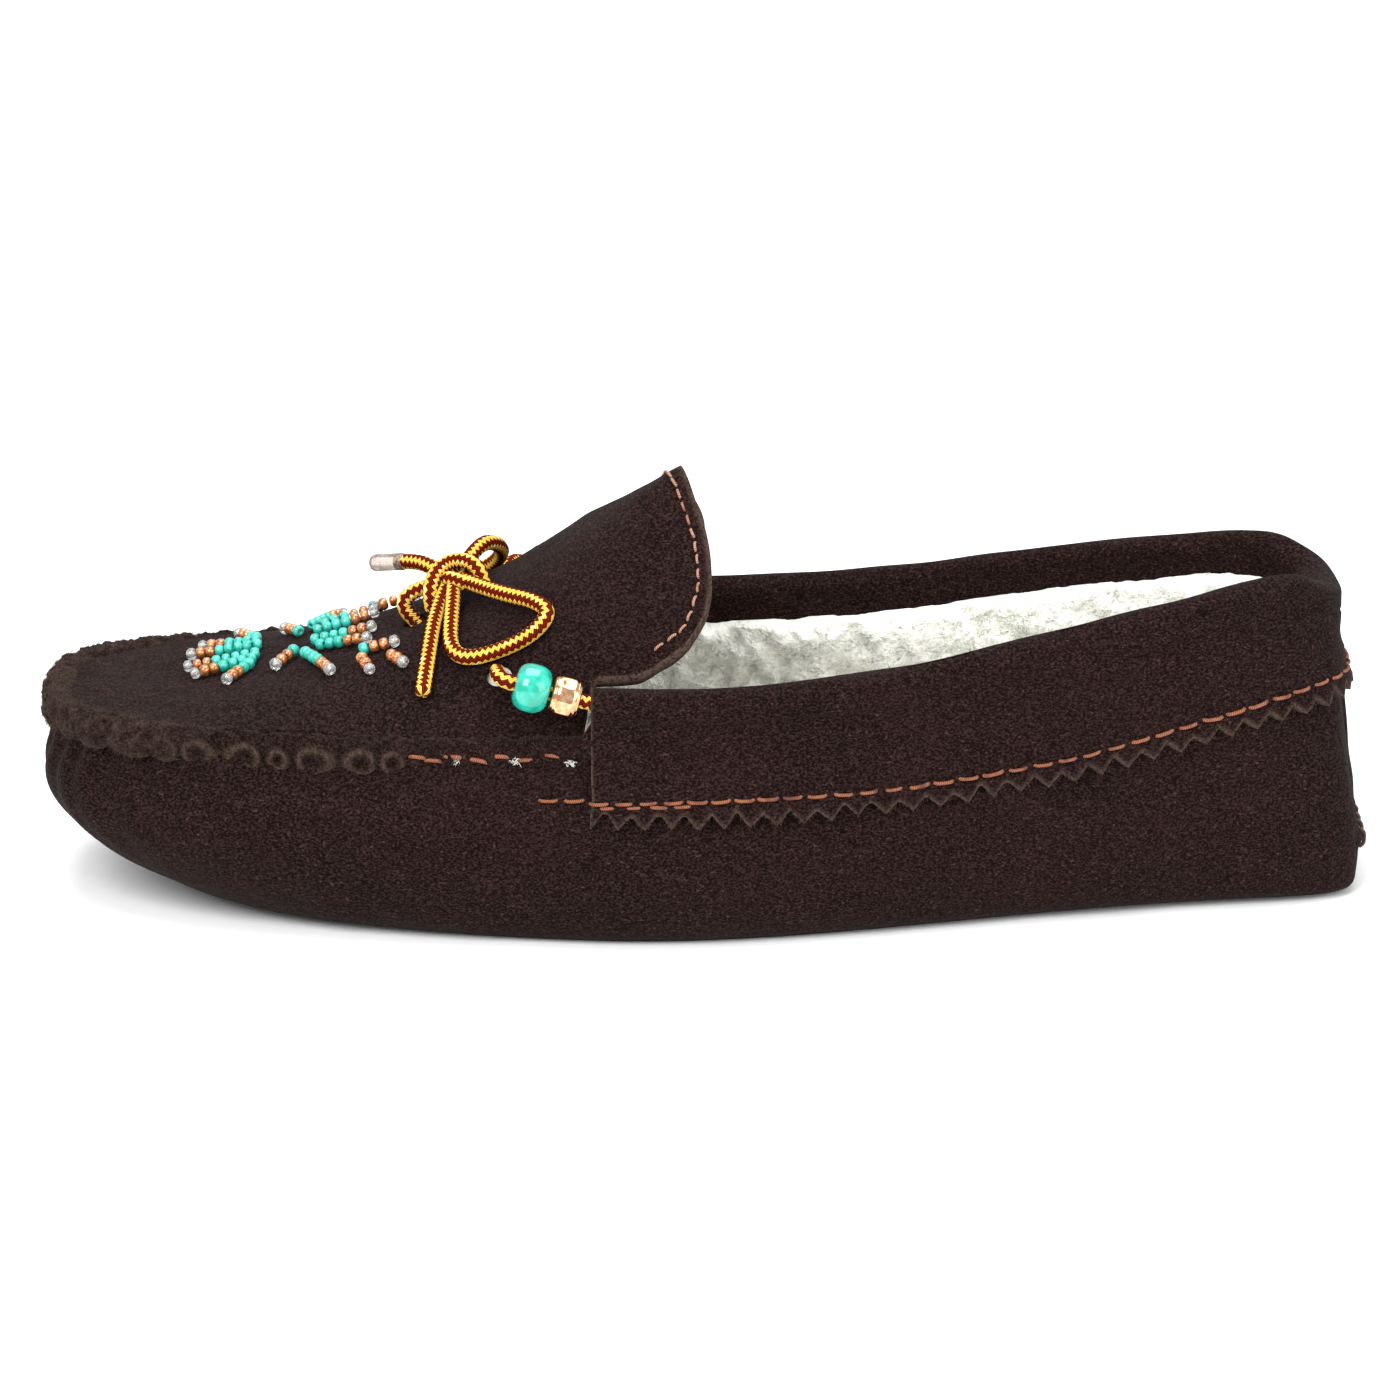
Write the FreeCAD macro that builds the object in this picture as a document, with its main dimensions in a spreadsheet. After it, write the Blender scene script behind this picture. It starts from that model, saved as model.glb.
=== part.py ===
"""A soft-soled slipper moccasin for the left foot, as a parametric FreeCAD document in millimetres.

One sheet of suede wraps the sole and sides and is gathered around a suede apron. A pinked cuff is folded
over the rim, and a braided lace runs inside the fold, through two beads on each side, and into a bow.
Frame: +Z up, toe towards -X, heel towards +X, outer side of the foot towards -Y, origin on the floor.
"""
import FreeCAD, Part
import math
import os
from FreeCAD import Vector

document = FreeCAD.newDocument("Moccasin")

# Driving dimensions, in millimetres and degrees.
DIMENSIONS = (
    ("shoe_length", 250.0),
    ("ball_width", 96.0),
    ("heel_width", 61.6),
    ("suede_thickness", 1.6),
    ("pile_depth", 6.8),
    ("rim_pile_depth", 1.1),
    ("apron_thickness", 2.0),
    ("apron_pile_depth", 4.5),
    ("layer_gap", 0.3),
    ("cuff_stitch_rise", 4.3),
    ("cuff_front", -20.5),
    ("cuff_turn_in", 8.5),
    ("tooth_pitch", 5.0),
    ("tooth_depth", 2.4),
    ("stitch_pitch", 4.6),
    ("stitch_length", 3.3),
    ("thread_diameter", 0.8),
    ("foam_thickness", 5.0),
    ("insole_pile_depth", 4.5),
    ("lace_diameter", 3.0),
    ("lace_hole_diameter", 5.0),
    ("pony_bead_diameter", 9.0),
    ("pony_bead_length", 6.5),
    ("metal_bead_diameter", 8.0),
    ("metal_bead_length", 5.4),
    ("bead_bore", 3.9),
    ("seed_bead_diameter", 2.3),
    ("seed_bead_length", 1.7),
    ("seed_bead_bore", 0.8),
    ("aglet_diameter", 3.6),
    ("aglet_length", 6.0),
    ("tongue_fold", -22.3),
    ("knot_length", 10.5),
    ("knot_width", 9.0),
    ("knot_height", 7.0),
)
sheet = document.addObject("Spreadsheet::Sheet", "dimensions")
for row, (alias, value) in enumerate(DIMENSIONS, start=1):
    sheet.set(f"A{row}", alias)
    sheet.set(f"B{row}", str(value))
    sheet.setAlias(f"B{row}", alias)
document.recompute()


def size(alias):
    """One driving dimension, read from the sheet."""
    return float(sheet.get(alias))


NODES = {
    "suede_wrap", "apron", "tongue", "cuff", "side_pile", "apron_pile", "tongue_pile", "foam_insole",
    "insole_pile", "lace", "bow_knot", "lace_stub_near", "lace_stub_far", "bow_loop_near", "bow_loop_far",
    "bow_tail_near", "bow_tail_far", "aglet", "pony_bead_near", "pony_bead_far", "metal_bead_near",
    "metal_bead_far", "turquoise_beads", "copper_beads", "clear_beads", "cuff_stitches", "tongue_stitches",
    "apron_stitches", "heel_stitches",
}

HALF_LENGTH = size("shoe_length") / 2
HALF_BALL = size("ball_width") / 2
HALF_HEEL = size("heel_width") / 2
SUEDE = size("suede_thickness")
GAP = size("layer_gap")
LACE = size("lace_diameter")
THREAD = size("thread_diameter")
CUFF_FRONT = size("cuff_front")
FOLD_X = size("tongue_fold")

# How far each level of the outer skin is drawn in from the shoe's longest and widest line, and how
# square its heel is: (height, at the toe, at the heel, at the ball, beside the heel, heel bluntness).
LEVELS = (
    (0.0, 38.0, 3.4, 4.7, 9.0, 0.20),
    (1.5, 30.5, 1.6, 2.6, 5.0, 0.22),
    (4.0, 23.5, 1.0, 1.0, 2.2, 0.26),
    (9.0, 13.5, 0.8, 0.0, 0.5, 0.30),
    (15.0, 5.0, 1.4, 0.2, 0.0, 0.33),
    (21.0, 0.7, 2.2, 1.5, 0.0, 0.35),
    (28.0, 0.2, 3.1, 5.2, 0.2, 0.40),
    (36.0, 2.8, 4.4, 10.4, 0.5, 0.47),
    (46.0, 7.5, 5.8, 11.0, 1.0, 0.58),
    (66.0, 14.0, 8.2, 12.0, 2.2, 0.75),
)
WIDEST_HEIGHT = 21.0
WAIST_START = -20.0
WAIST_LENGTH = 130.0
TOE_BLUNTNESS = 0.62
TOE_BEND = -2.0

# Places along the outline, as shares of the way from toe to heel, closest where it turns most.
STATIONS = (
    0.004, 0.02, 0.055, 0.12, 0.2, 0.3, 0.41, 0.52, 0.63,
    0.73, 0.82, 0.895, 0.95, 0.981, 0.9955, 0.9996,
)


def smooth(share):
    """0 to 1 with flat ends."""
    share = min(max(share, 0.0), 1.0)
    return share * share * (3 - 2 * share)


def curve_height(points, x):
    """Height of a smooth curve through (x, z) points, by Catmull-Rom pieces; straight outside them."""
    last = len(points) - 2
    index = sum(1 for point in points[1:-1] if x >= point[0])
    index = min(max(index, 0), last)
    slopes = []
    for i in range(len(points)):
        before, after = points[max(i - 1, 0)], points[min(i + 1, len(points) - 1)]
        slopes.append((after[1] - before[1]) / (after[0] - before[0]))
    (x0, z0), (x1, z1) = points[index], points[index + 1]
    if x <= x0 and index == 0:
        return z0 + slopes[0] * (x - x0)
    if x >= x1 and index == last:
        return z1 + slopes[-1] * (x - x1)
    width = x1 - x0
    t = (x - x0) / width
    return (
        z0 * (1 + 2 * t) * (1 - t) ** 2
        + z1 * t * t * (3 - 2 * t)
        + width * slopes[index] * t * (1 - t) ** 2
        + width * slopes[index + 1] * t * t * (t - 1)
    )


def level_values(height):
    """The columns of LEVELS at any height."""
    return [curve_height([(level[0], level[k]) for level in LEVELS], height) for k in range(1, 6)]


def skin_point(height, share, side, inset=0.0):
    """A point of the outer skin, or of its offset inwards, at a level's height.

    share runs from the toe, 0, to the heel, 1; side is -1 on the outer side of the foot and 1 on the inner.
    """
    at_toe, at_heel, at_ball, beside_heel, heel_bluntness = level_values(height)
    toe = -HALF_LENGTH + at_toe + inset
    heel = HALF_LENGTH - at_heel - inset
    ball = HALF_BALL - at_ball
    back = HALF_HEEL - beside_heel
    x = toe + (heel - toe) * share
    half = ball + (back - ball) * smooth((x - WAIST_START) / WAIST_LENGTH) - inset
    bluntness = TOE_BLUNTNESS + (heel_bluntness - TOE_BLUNTNESS) * smooth(share)
    roundness = (2 * math.sqrt(share * (1 - share))) ** bluntness
    return Vector(x, side * half * roundness + bend(x), height)


def bend(x):
    """The toe leans a little towards the outer side, as the gathers pull it."""
    return TOE_BEND * smooth((-x - 40.0) / 80.0)


def outline(height, inset):
    """Closed smooth outline of the skin at one height."""
    points = [skin_point(height, 0.0, -1, inset)]
    points += [skin_point(height, share, -1, inset) for share in STATIONS]
    points += [skin_point(height, 1.0, -1, inset)]
    points += [skin_point(height, share, 1, inset) for share in reversed(STATIONS)]
    return points


def knots():
    """One set of curve parameters for every level, by the spacing of the points on the widest level."""
    points = outline(WIDEST_HEIGHT, 0.0)
    marks = [0.0]
    for before, after in zip(points, points[1:] + points[:1]):
        marks.append(marks[-1] + math.sqrt((after - before).Length))
    return [mark / marks[-1] for mark in marks]


KNOTS = knots()


def outline_curve(height, inset, level_z=None):
    """The outline as one periodic curve, drawn at its own height or at another."""
    lift = Vector(0, 0, 0 if level_z is None else level_z - height)
    curve = Part.BSplineCurve()
    curve.interpolate(
        Points=[point + lift for point in outline(height, inset)],
        PeriodicFlag=True,
        Parameters=KNOTS,
    )
    return curve


def outline_wire(height, inset, level_z=None):
    """The same outline as a wire."""
    return Part.Wire([outline_curve(height, inset, level_z).toShape()])


def skin_solid(inset):
    """Everything inside the skin offset inwards by inset; a deep offset also starts higher.

    The outlines of all levels share their knots, so their poles are joined upwards by one smooth curve each.
    """
    base = max(inset, 0.0)
    curves, marks = [], [0.0]
    for height, *_ in LEVELS:
        raised = base + height * (WIDEST_HEIGHT - base) / WIDEST_HEIGHT
        curves.append(outline_curve(height, inset, raised if height < WIDEST_HEIGHT else height))
    for (low, low_toe, *_), (high, high_toe, *_) in zip(LEVELS, LEVELS[1:]):
        marks.append(marks[-1] + math.sqrt(math.hypot(high - low, high_toe - low_toe)))
    columns = []
    for column in zip(*[curve.getPoles() for curve in curves]):
        upward = Part.BSplineCurve()
        upward.interpolate(Points=list(column), Parameters=marks)
        columns.append(upward)
    surface = Part.BSplineSurface()
    surface.buildFromPolesMultsKnots(
        [column.getPoles() for column in columns],
        curves[0].getMultiplicities(),
        columns[0].getMultiplicities(),
        curves[0].getKnots(),
        columns[0].getKnots(),
        True,
        False,
        3,
        3,
    )
    side = surface.toShape()
    ends = [edge for edge in side.Edges if edge.BoundBox.ZLength < 0.01]
    caps = [Part.Face(Part.Wire([edge])) for edge in ends]
    solid = Part.Solid(Part.Shell([side] + caps))
    solid.fix(1e-4, 1e-4, 1e-4)
    return solid


# Side view curves, as (x, z): the seam around the apron, the top of the folded cuff, the ridge of the
# apron and tongue, and the seam line that the tongue's sides would reach.
SEAM = ((-128, 36.8), (-109, 36.2), (-90, 35.5), (-68, 35.2), (-40, 35.8), (-20, 36.5))
CUFF_TOP = (
    (-25, 46.8), (5, 46.8), (37, 49.8), (57, 53.4), (76, 56.9), (94, 59.8),
    (106, 61.7), (113, 61.8), (119, 58.5),
)
RIDGE = (
    (-130, 36.8), (-119, 37.2), (-109, 37.7), (-95.5, 39.0), (-76.5, 42.9),
    (-57.5, 48.6), (-38.5, 57.2), (-19.6, 69.4), (-4, 79.0), (8, 85.0),
)
SIDE_LINE = (
    (-130, 36.6), (-109, 36.2), (-90, 35.5), (-68, 35.2), (-40, 35.8),
    (-24, 36.4), (-12, 35.5), (-7, 39.0), (0, 44.0), (8, 49.0),
)
CUFF_EDGE = ((-25, 23.4), (7, 23.6), (37, 24.4), (68, 28.0), (94, 33.8), (112, 37.4), (122, 38.2))
APRON_HALF_WIDTH = 33.5
CROWN_SOFTNESS = 3.0


def apron_height(x, y):
    """Upper face of apron and tongue: z = side + (ridge - side) (1 - (|y| / w) ^ n), n less to the tip."""
    across = math.sqrt((y - bend(x)) ** 2 + CROWN_SOFTNESS ** 2) - CROWN_SOFTNESS
    power = 2.2 - 1.12 * smooth((x + 26.0) / 24.0)
    side, ridge = curve_height(SIDE_LINE, x), curve_height(RIDGE, x)
    return side + (ridge - side) * (1 - (across / APRON_HALF_WIDTH) ** power)


def under(points, lift, start=-140.0, end=140.0, reach=90.0):
    """Everything below a side view curve between two places along the shoe."""
    step = 6.0
    count = int((end - start) / step)
    places = [start + (end - start) * i / count for i in range(count + 1)]
    top = [Vector(x, -reach, curve_height(points, x) + lift) for x in places]
    curve = Part.BSplineCurve()
    curve.interpolate(Points=top)
    floor = -20.0
    corners = [top[-1], Vector(end, -reach, floor), Vector(start, -reach, floor), top[0]]
    edges = [curve.toShape()] + [Part.makeLine(a, b) for a, b in zip(corners, corners[1:])]
    return Part.Face(Part.Wire(edges)).extrude(Vector(0, 2 * reach, 0))


def slab(low, high, start=-140.0, end=140.0):
    """A plain block between two heights."""
    return Part.makeBox(end - start, 200.0, high - low, Vector(start, -100.0, low))


def add(label, shape):
    """A sub-part whose shape is set by Part's own functions."""
    feature = document.addObject("Part::Feature", label)
    feature.Label = label
    feature.Shape = shape
    feature.Placement = FreeCAD.Placement()
    return feature


# ---------------------------------------------------------------- suede wrap: sole, sides and heel
CUFF_LEATHER = 1.5
COVER_CLEARANCE = 0.1
LACE_SPACE = LACE + 0.5
OUTER_FLAP = SUEDE + 0.2
TURN_IN_INSET = SUEDE + size("rim_pile_depth") + 0.8
ABOVE_WALL = CUFF_LEATHER + LACE_SPACE

outer_skin = skin_solid(0.0)
inner_skin = skin_solid(SUEDE)
front_zone = under(SEAM, 0.0, -140.0, CUFF_FRONT)
rear_zone = under(CUFF_TOP, -ABOVE_WALL, CUFF_FRONT, 140.0)
wrap_zone = front_zone.fuse(rear_zone)
wrap = outer_skin.cut(inner_skin).common(wrap_zone)


def gathered_roll():
    """The puckered roll along the apron seam: a band around the wall's top edge, notched into pleats."""
    rise, drop, proud = 1.6, 3.2, 1.5
    band = skin_solid(-proud).cut(skin_solid(SUEDE + 0.05))
    upper = under(SEAM, rise, -140.0, CUFF_FRONT - 1.0)
    lower = under(SEAM, -drop, -141.0, CUFF_FRONT)
    roll = band.common(upper).cut(lower)
    notches = []
    pitch, radius, reach = 7.2, 1.9, 8.0
    for side in (-1, 1):
        travelled, previous = pitch / 2, None
        step = 0.0015
        share = 0.0
        while True:
            here = seam_point(share, side, 0.0)
            if here.x > -56.0:
                break
            if previous is not None:
                travelled += (here - previous).Length
                if travelled >= pitch:
                    travelled -= pitch
                    outward = seam_normal(share, side)
                    centre = here + outward * 3.4 + Vector(0, 0, -1.4)
                    notches.append(Part.makeCylinder(radius, reach, centre - Vector(0, 0, 0.5 * reach)))
            previous = here
            share += step
    return roll.cut(Part.makeCompound(notches))


def seam_point(share, side, inset):
    """A point on the apron seam."""
    x_guess = skin_point(35.5, share, side, inset)
    return Vector(x_guess.x, x_guess.y, curve_height(SEAM, x_guess.x))


def seam_normal(share, side):
    """Level direction out of the shoe at the seam."""
    step = 0.002
    before = skin_point(35.5, max(share - step, 0.0), side)
    after = skin_point(35.5, share + step, side)
    along = (after - before).normalize()
    outward = Vector(along.y, -along.x, 0)
    return outward if outward.y * side > 0 else outward * -1


roll = gathered_roll()
heel_seam = Part.makeCylinder(1.6, 27.0, Vector(HALF_LENGTH - 2.6, 0, 9.5), Vector(-0.09, 0, 1))
heel_seam = heel_seam.cut(inner_skin)
heel_cross_seam = Part.makeCylinder(1.3, 30.0, Vector(HALF_LENGTH - 1.5, -15.0, 9.5), Vector(0, 1, 0))
heel_cross_seam = heel_cross_seam.cut(inner_skin)
wrap = wrap.fuse([roll, heel_seam, heel_cross_seam]).removeSplitter()
add("suede_wrap", wrap)

# ---------------------------------------------------------------- apron and tongue
def crowned_sheet(low, high):
    """A sheet that follows the apron's upper face, from low to high below it."""
    grid = []
    for i in range(24):
        x = -130.0 + 6.0 * i
        grid.append([Vector(x, -44.0 + 5.5 * j, apron_height(x, -44.0 + 5.5 * j) - low) for j in range(17)])
    surface = Part.BSplineSurface()
    surface.interpolate(grid)
    return surface.toShape().extrude(Vector(0, 0, low - high))


def plan_prism(wire):
    """Everything inside a level outline, at any height."""
    return Part.Face(wire).extrude(Vector(0, 0, 120))


def tongue_outline(margin):
    """The tongue's plan: nearly straight sides from the fold, then a rounded free edge rising to the tip."""
    half = ((-18.0, 29.8), (-12.0, 29.0), (-7.0, 28.0), (-2.5, 26.8),
            (0.6, 24.4), (1.7, 21.0), (0.8, 14.0), (-1.8, 7.0))
    twist = 0.12
    tip = Vector(-4.0, 0, 0)
    right = [Vector(x, -y, 0) for x, y in half]
    left = [Vector(x - twist * (31.0 - y), y, 0) for x, y in reversed(half)]
    start, end = Vector(FOLD_X - 6.0, -30.4, 0), Vector(FOLD_X - 6.0, 30.4, 0)
    curve = Part.BSplineCurve()
    curve.interpolate(Points=[start] + right + [tip] + left + [end])
    if margin:
        inner = []
        for i in range(25):
            parameter = curve.FirstParameter + (curve.LastParameter - curve.FirstParameter) * i / 24
            along = curve.tangent(parameter)[0].normalize()
            inner.append(curve.value(parameter) + Vector(-along.y, along.x, 0) * margin)
        curve = Part.BSplineCurve()
        curve.interpolate(Points=inner)
        start, end = inner[0], inner[-1]
    return Part.Wire([curve.toShape(), Part.makeLine(end, start)])


APRON_INSET = SUEDE + GAP + 1.0
apron_plan = plan_prism(outline_wire(35.5, APRON_INSET, 0.0))
apron_zone = apron_plan.common(slab(-1.0, 130.0, -140.0, FOLD_X - GAP))
suede_sheet = crowned_sheet(0.0, size("apron_thickness"))
pile_top = size("apron_thickness") + GAP
pile_sheet = crowned_sheet(pile_top, pile_top + size("apron_pile_depth"))
tongue_zone = slab(-1.0, 130.0, FOLD_X, 20.0)


def place_above(x, y, rise=0.0):
    """A point a little above the apron's or tongue's upper face."""
    return Vector(x, y, apron_height(x, y) + rise)


def apron_normal(x, y):
    """Upward direction square to the apron's or tongue's upper face."""
    step = 0.25
    ahead = place_above(x + step, y) - place_above(x - step, y)
    beside = place_above(x, y + step) - place_above(x, y - step)
    return ahead.cross(beside).normalize()


SIDE_HOLE = (-37.6, 27.2)
CENTRE_HOLES = ((-54.0, -3.5), (-50.0, 4.5))


def lace_hole(x, y, tilt_y):
    """A punched hole through the apron and its lining."""
    direction = Vector(0, tilt_y, 1)
    centre = place_above(x, y)
    direction = direction.normalize()
    return Part.makeCylinder(size("lace_hole_diameter") / 2, 16.0, centre - direction * 8, direction)


holes = [lace_hole(SIDE_HOLE[0], side * SIDE_HOLE[1], side * 0.8) for side in (-1, 1)]
holes += [lace_hole(x, y, 0.0) for x, y in CENTRE_HOLES]
apron = suede_sheet.common(apron_zone).cut(Part.makeCompound(holes))
add("apron", apron)
tongue = suede_sheet.common(plan_prism(tongue_outline(0.0))).common(tongue_zone)
add("tongue", tongue)
apron_lining_zone = plan_prism(outline_wire(35.5, SUEDE + size("pile_depth") + 1.4, 0.0))
apron_lining_zone = apron_lining_zone.common(slab(-1.0, 130.0, -140.0, FOLD_X - GAP))
add("apron_pile", pile_sheet.common(apron_lining_zone))
tongue_lining = pile_sheet.common(plan_prism(tongue_outline(2.2))).common(tongue_zone)
add("tongue_pile", tongue_lining)

# ---------------------------------------------------------------- pinked cuff folded over the rim
cuff_top = under(CUFF_TOP, 0.0)
under_fold = under(CUFF_TOP, -CUFF_LEATHER)
cuff_outer = skin_solid(-OUTER_FLAP)
cuff_inner = skin_solid(-COVER_CLEARANCE)
turn_in_outer = skin_solid(TURN_IN_INSET)
turn_in_inner = skin_solid(TURN_IN_INSET + CUFF_LEATHER)
behind_front = slab(-1.0, 130.0, CUFF_FRONT, 140.0)
cuff = cuff_outer.cut(turn_in_inner).common(cuff_top).common(behind_front)
cuff = cuff.cut(cuff_inner.cut(turn_in_outer).common(under_fold))
cuff = cuff.cut(turn_in_outer.common(under(CUFF_TOP, -size("cuff_turn_in"))))
cuff = cuff.cut(under(CUFF_EDGE, 0.0))


def rim_path(curve, rise, outset, pitch, first):
    """Places a pitch apart round the cuff, a rise above a side view curve: (point, along, level normal)."""
    places = []
    travelled, previous = pitch - first, None
    steps = 2400
    for side, shares in ((-1, range(steps)), (1, range(steps, 0, -1))):
        for i in shares:
            guess = skin_point(40.0, i / steps, side, -outset)
            if guess.x < CUFF_FRONT + 1.2:
                continue
            here = skin_point(curve_height(curve, guess.x) + rise, i / steps, side, -outset)
            if previous is not None:
                travelled += (here - previous).Length
            if travelled >= pitch and previous is not None:
                travelled -= pitch
                along = (here - previous).normalize()
                normal = Vector(along.y, -along.x, 0).normalize()
                places.append((here, along, normal))
            previous = here
    return places


def tooth_notches():
    """Wedges that cut the cuff's lower edge into pinked teeth."""
    pitch, depth = size("tooth_pitch"), size("tooth_depth")
    notches = []
    for point, level, normal in rim_path(CUFF_EDGE, 0.0, OUTER_FLAP, pitch, pitch / 2):
        up = normal.cross(level)
        up = up if up.z > 0 else up * -1
        half, below = 0.5 * pitch, 1.2
        widen = 1 + below / depth
        base = point - up * below - normal * 4.0
        corners = [base - level * half * widen, base + level * half * widen, base + up * (depth + below)]
        wedge = Part.Face(Part.makePolygon(corners + corners[:1])).extrude(normal * 8.0)
        notches.append(wedge)
    return notches


cuff = cuff.cut(Part.makeCompound(tooth_notches()))

# ---------------------------------------------------------------- pile lining, foam and insole
foam_top = SUEDE + GAP + size("foam_thickness")
insole_bottom = foam_top + GAP
side_outer = skin_solid(SUEDE + 0.1)
side_inner = skin_solid(SUEDE + 0.1 + size("pile_depth"))
rim_inner = skin_solid(SUEDE + 0.1 + size("rim_pile_depth"))
front_lining = under(SEAM, -3.2, -140.0, CUFF_FRONT)
rear_lining = under(CUFF_TOP, -size("cuff_turn_in") - GAP, CUFF_FRONT, 140.0)
side_pile = side_outer.cut(side_inner).common(front_lining.fuse(rear_lining))
tucked = side_outer.cut(rim_inner).common(under(CUFF_TOP, -ABOVE_WALL, CUFF_FRONT, 140.0))
side_pile = side_pile.fuse(tucked).cut(slab(-1.0, insole_bottom))
insole_pocket = plan_prism(outline_wire(9.0, SUEDE + size("pile_depth") + 0.2, 0.0))
side_pile = side_pile.cut(insole_pocket.common(slab(-1.0, insole_bottom + size("insole_pile_depth") + GAP)))
add("side_pile", side_pile)
add("foam_insole", skin_solid(SUEDE + GAP).common(slab(SUEDE + GAP, foam_top)))
insole_top = insole_bottom + size("insole_pile_depth")
insole_zone = plan_prism(outline_wire(9.0, SUEDE + size("pile_depth") + 0.6, 0.0))
add("insole_pile", insole_zone.common(slab(insole_bottom, insole_top)))

# ---------------------------------------------------------------- lace
def tube(points):
    """A cord's centre line: straight runs joined by arcs, and the radius of each arc.

    A radius is 0.45 of the shorter run beside it over the tangent of half the turn.
    """
    edges, radii = [], []
    start = points[0]
    for before, corner, after in zip(points, points[1:], points[2:]):
        inward, outward = (corner - before).normalize(), (after - corner).normalize()
        trim = 0.45 * min((corner - before).Length, (after - corner).Length)
        half_turn = inward.getAngle(outward) / 2
        radius = trim / math.tan(half_turn)
        centre = corner + (outward - inward).normalize() * (radius / math.cos(half_turn))
        middle = centre + (corner - centre).normalize() * radius
        first, last = corner - inward * trim, corner + outward * trim
        edges.append(Part.LineSegment(start, first).toShape())
        edges.append(Part.Arc(first, middle, last).toShape())
        start = last
        radii.append(radius)
    edges.append(Part.LineSegment(start, points[-1]).toShape())
    return edges, radii


def sweep(edges, diameter):
    """A round section carried along joined edges."""
    path = Part.Wire(edges)
    direction = edges[0].tangentAt(edges[0].FirstParameter)
    ring = Part.Wire([Part.makeCircle(diameter / 2, edges[0].Vertexes[0].Point, direction)])
    return path.makePipeShell([ring], True, False)


def report(label, edges, radii, solid):
    """Says a cord's length and bends, and compares its volume with its section times its length."""
    length = sum(edge.Length for edge in edges)
    share = solid.Volume / (math.pi * LACE ** 2 / 4 * length)
    print(f"{label}: {length:.1f} mm long, tightest bend {min(radii):.1f} mm, volume share {share:.3f}")


def cord(label, route):
    """A free stretch of lace, in a node of its own."""
    edges, radii = tube(route)
    solid = sweep(edges, LACE)
    report(label, edges, radii, solid)
    return add(label, solid)


def on_apron(route):
    """Points given as (x, y, rise square to the apron)."""
    return [place_above(x, y) + apron_normal(x, y) * rise for x, y, rise in route]


def mirrored(point):
    """The same place on the other side of the shoe."""
    return Vector(point.x, -point.y, point.z)


PONY_BEAD = Vector(-31.2, -37.4, 47.7)
METAL_BEAD = Vector(-25.1, -37.4, 46.0)
BEAD_LINE = (METAL_BEAD - PONY_BEAD).normalize()
TUNNEL_DROP = CUFF_LEATHER + LACE_SPACE / 2
TUNNEL_INSET = 0.5 * (TURN_IN_INSET - COVER_CLEARANCE)

# From the centre hole under the apron to the side hole, out through both beads and into the cuff.
side_route = on_apron(((-54.0, -3.5, -0.3), (-53.4, -5.6, -4.6), (-46.0, -17.0, -4.4), (-39.4, -24.4, -4.6)))
side_route += on_apron(((-37.6, -27.2, 0.7),))
side_route += [Vector(-37.8, -33.0, 49.6), PONY_BEAD - BEAD_LINE * 5.2, METAL_BEAD + BEAD_LINE * 3.4]
side_route += [Vector(-17.2, -35.1, 43.6)]
far_route = [mirrored(point) for point in side_route[1:]]
far_route = on_apron(((-50.0, 4.5, -0.3), (-49.4, 6.6, -4.6))) + far_route[1:]


def held_lace():
    """The lace that the shoe holds: centre hole, side hole, beads, round the heel inside the cuff, and back."""
    tunnel = rim_path(CUFF_TOP, -TUNNEL_DROP, -TUNNEL_INSET, 9.0, 9.0)
    inside = [place for place, along, normal in tunnel]
    inside = [place for place in inside if place.x > CUFF_FRONT + 10.0]
    edges, radii = tube(side_route + inside + list(reversed(far_route)))
    solid = sweep(edges, LACE)
    report("lace", edges, radii, solid)
    return solid


lace = held_lace()
add("lace", lace)
mouths = []
for route in (side_route, far_route):
    mouth_edges = tube(route[-3:] + [route[-1] + Vector(6.0, 0, -0.8)])[0]
    mouths.append(sweep(mouth_edges, LACE + 0.6))
cuff = cuff.cut(Part.makeCompound(mouths))
add("cuff", cuff)

# Each bow loop leaves the knot and comes back to it; each tail leaves it once.
KNOT = Vector(-44.8, -2.6, apron_height(-44.8, -2.6) + 1.0 + size("knot_height") / 2)
knot = document.addObject("Part::Ellipsoid", "bow_knot")
knot.Label = "bow_knot"
knot.setExpression("Radius1", "dimensions.knot_height / 2")
knot.setExpression("Radius2", "dimensions.knot_length / 2")
knot.setExpression("Radius3", "dimensions.knot_width / 2")
knot.Placement = FreeCAD.Placement(KNOT, FreeCAD.Rotation())

NEAR_STUB = ((-54.0, -3.5, 0.0), (-55.6, -3.4, 3.2), (-53.0, -3.0, 5.8), (-48.0, -2.6, 4.6))
FAR_STUB = ((-50.0, 4.5, 0.0), (-50.2, 4.3, 2.6), (-48.6, 2.4, 4.4), (-46.3, -0.6, 4.4))
NEAR_LOOP = (
    (-43.4, -4.6, 4.2), (-40.0, -9.0, 2.9), (-35.2, -14.4, 2.1), (-30.4, -18.4, 1.9), (-27.4, -21.6, 1.8),
    (-31.0, -23.9, 1.8), (-37.4, -24.4, 1.8), (-43.4, -24.0, 1.8), (-46.4, -20.8, 1.8), (-46.0, -12.6, 2.2),
    (-45.2, -5.2, 3.6),
)
NEAR_TAIL = ((-46.8, -3.8, 3.6), (-48.9, -9.6, 2.2), (-50.0, -17.8, 1.8), (-51.3, -28.0, 1.8))
FAR_LOOP = (
    (-43.6, -1.2, 4.8), (-40.8, 2.6, 6.0), (-38.2, 6.2, 6.0), (-36.8, 10.8, 3.6), (-37.6, 16.4, 2.0),
    (-41.0, 19.8, 1.8), (-45.0, 18.0, 1.8), (-46.4, 11.6, 2.2), (-45.6, 2.4, 3.6),
)
FAR_TAIL = ((-46.2, 0.4, 4.6), (-48.6, 3.4, 6.8), (-51.4, 6.4, 8.2), (-54.8, 8.6, 8.8))
cord("lace_stub_near", on_apron(NEAR_STUB))
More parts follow.
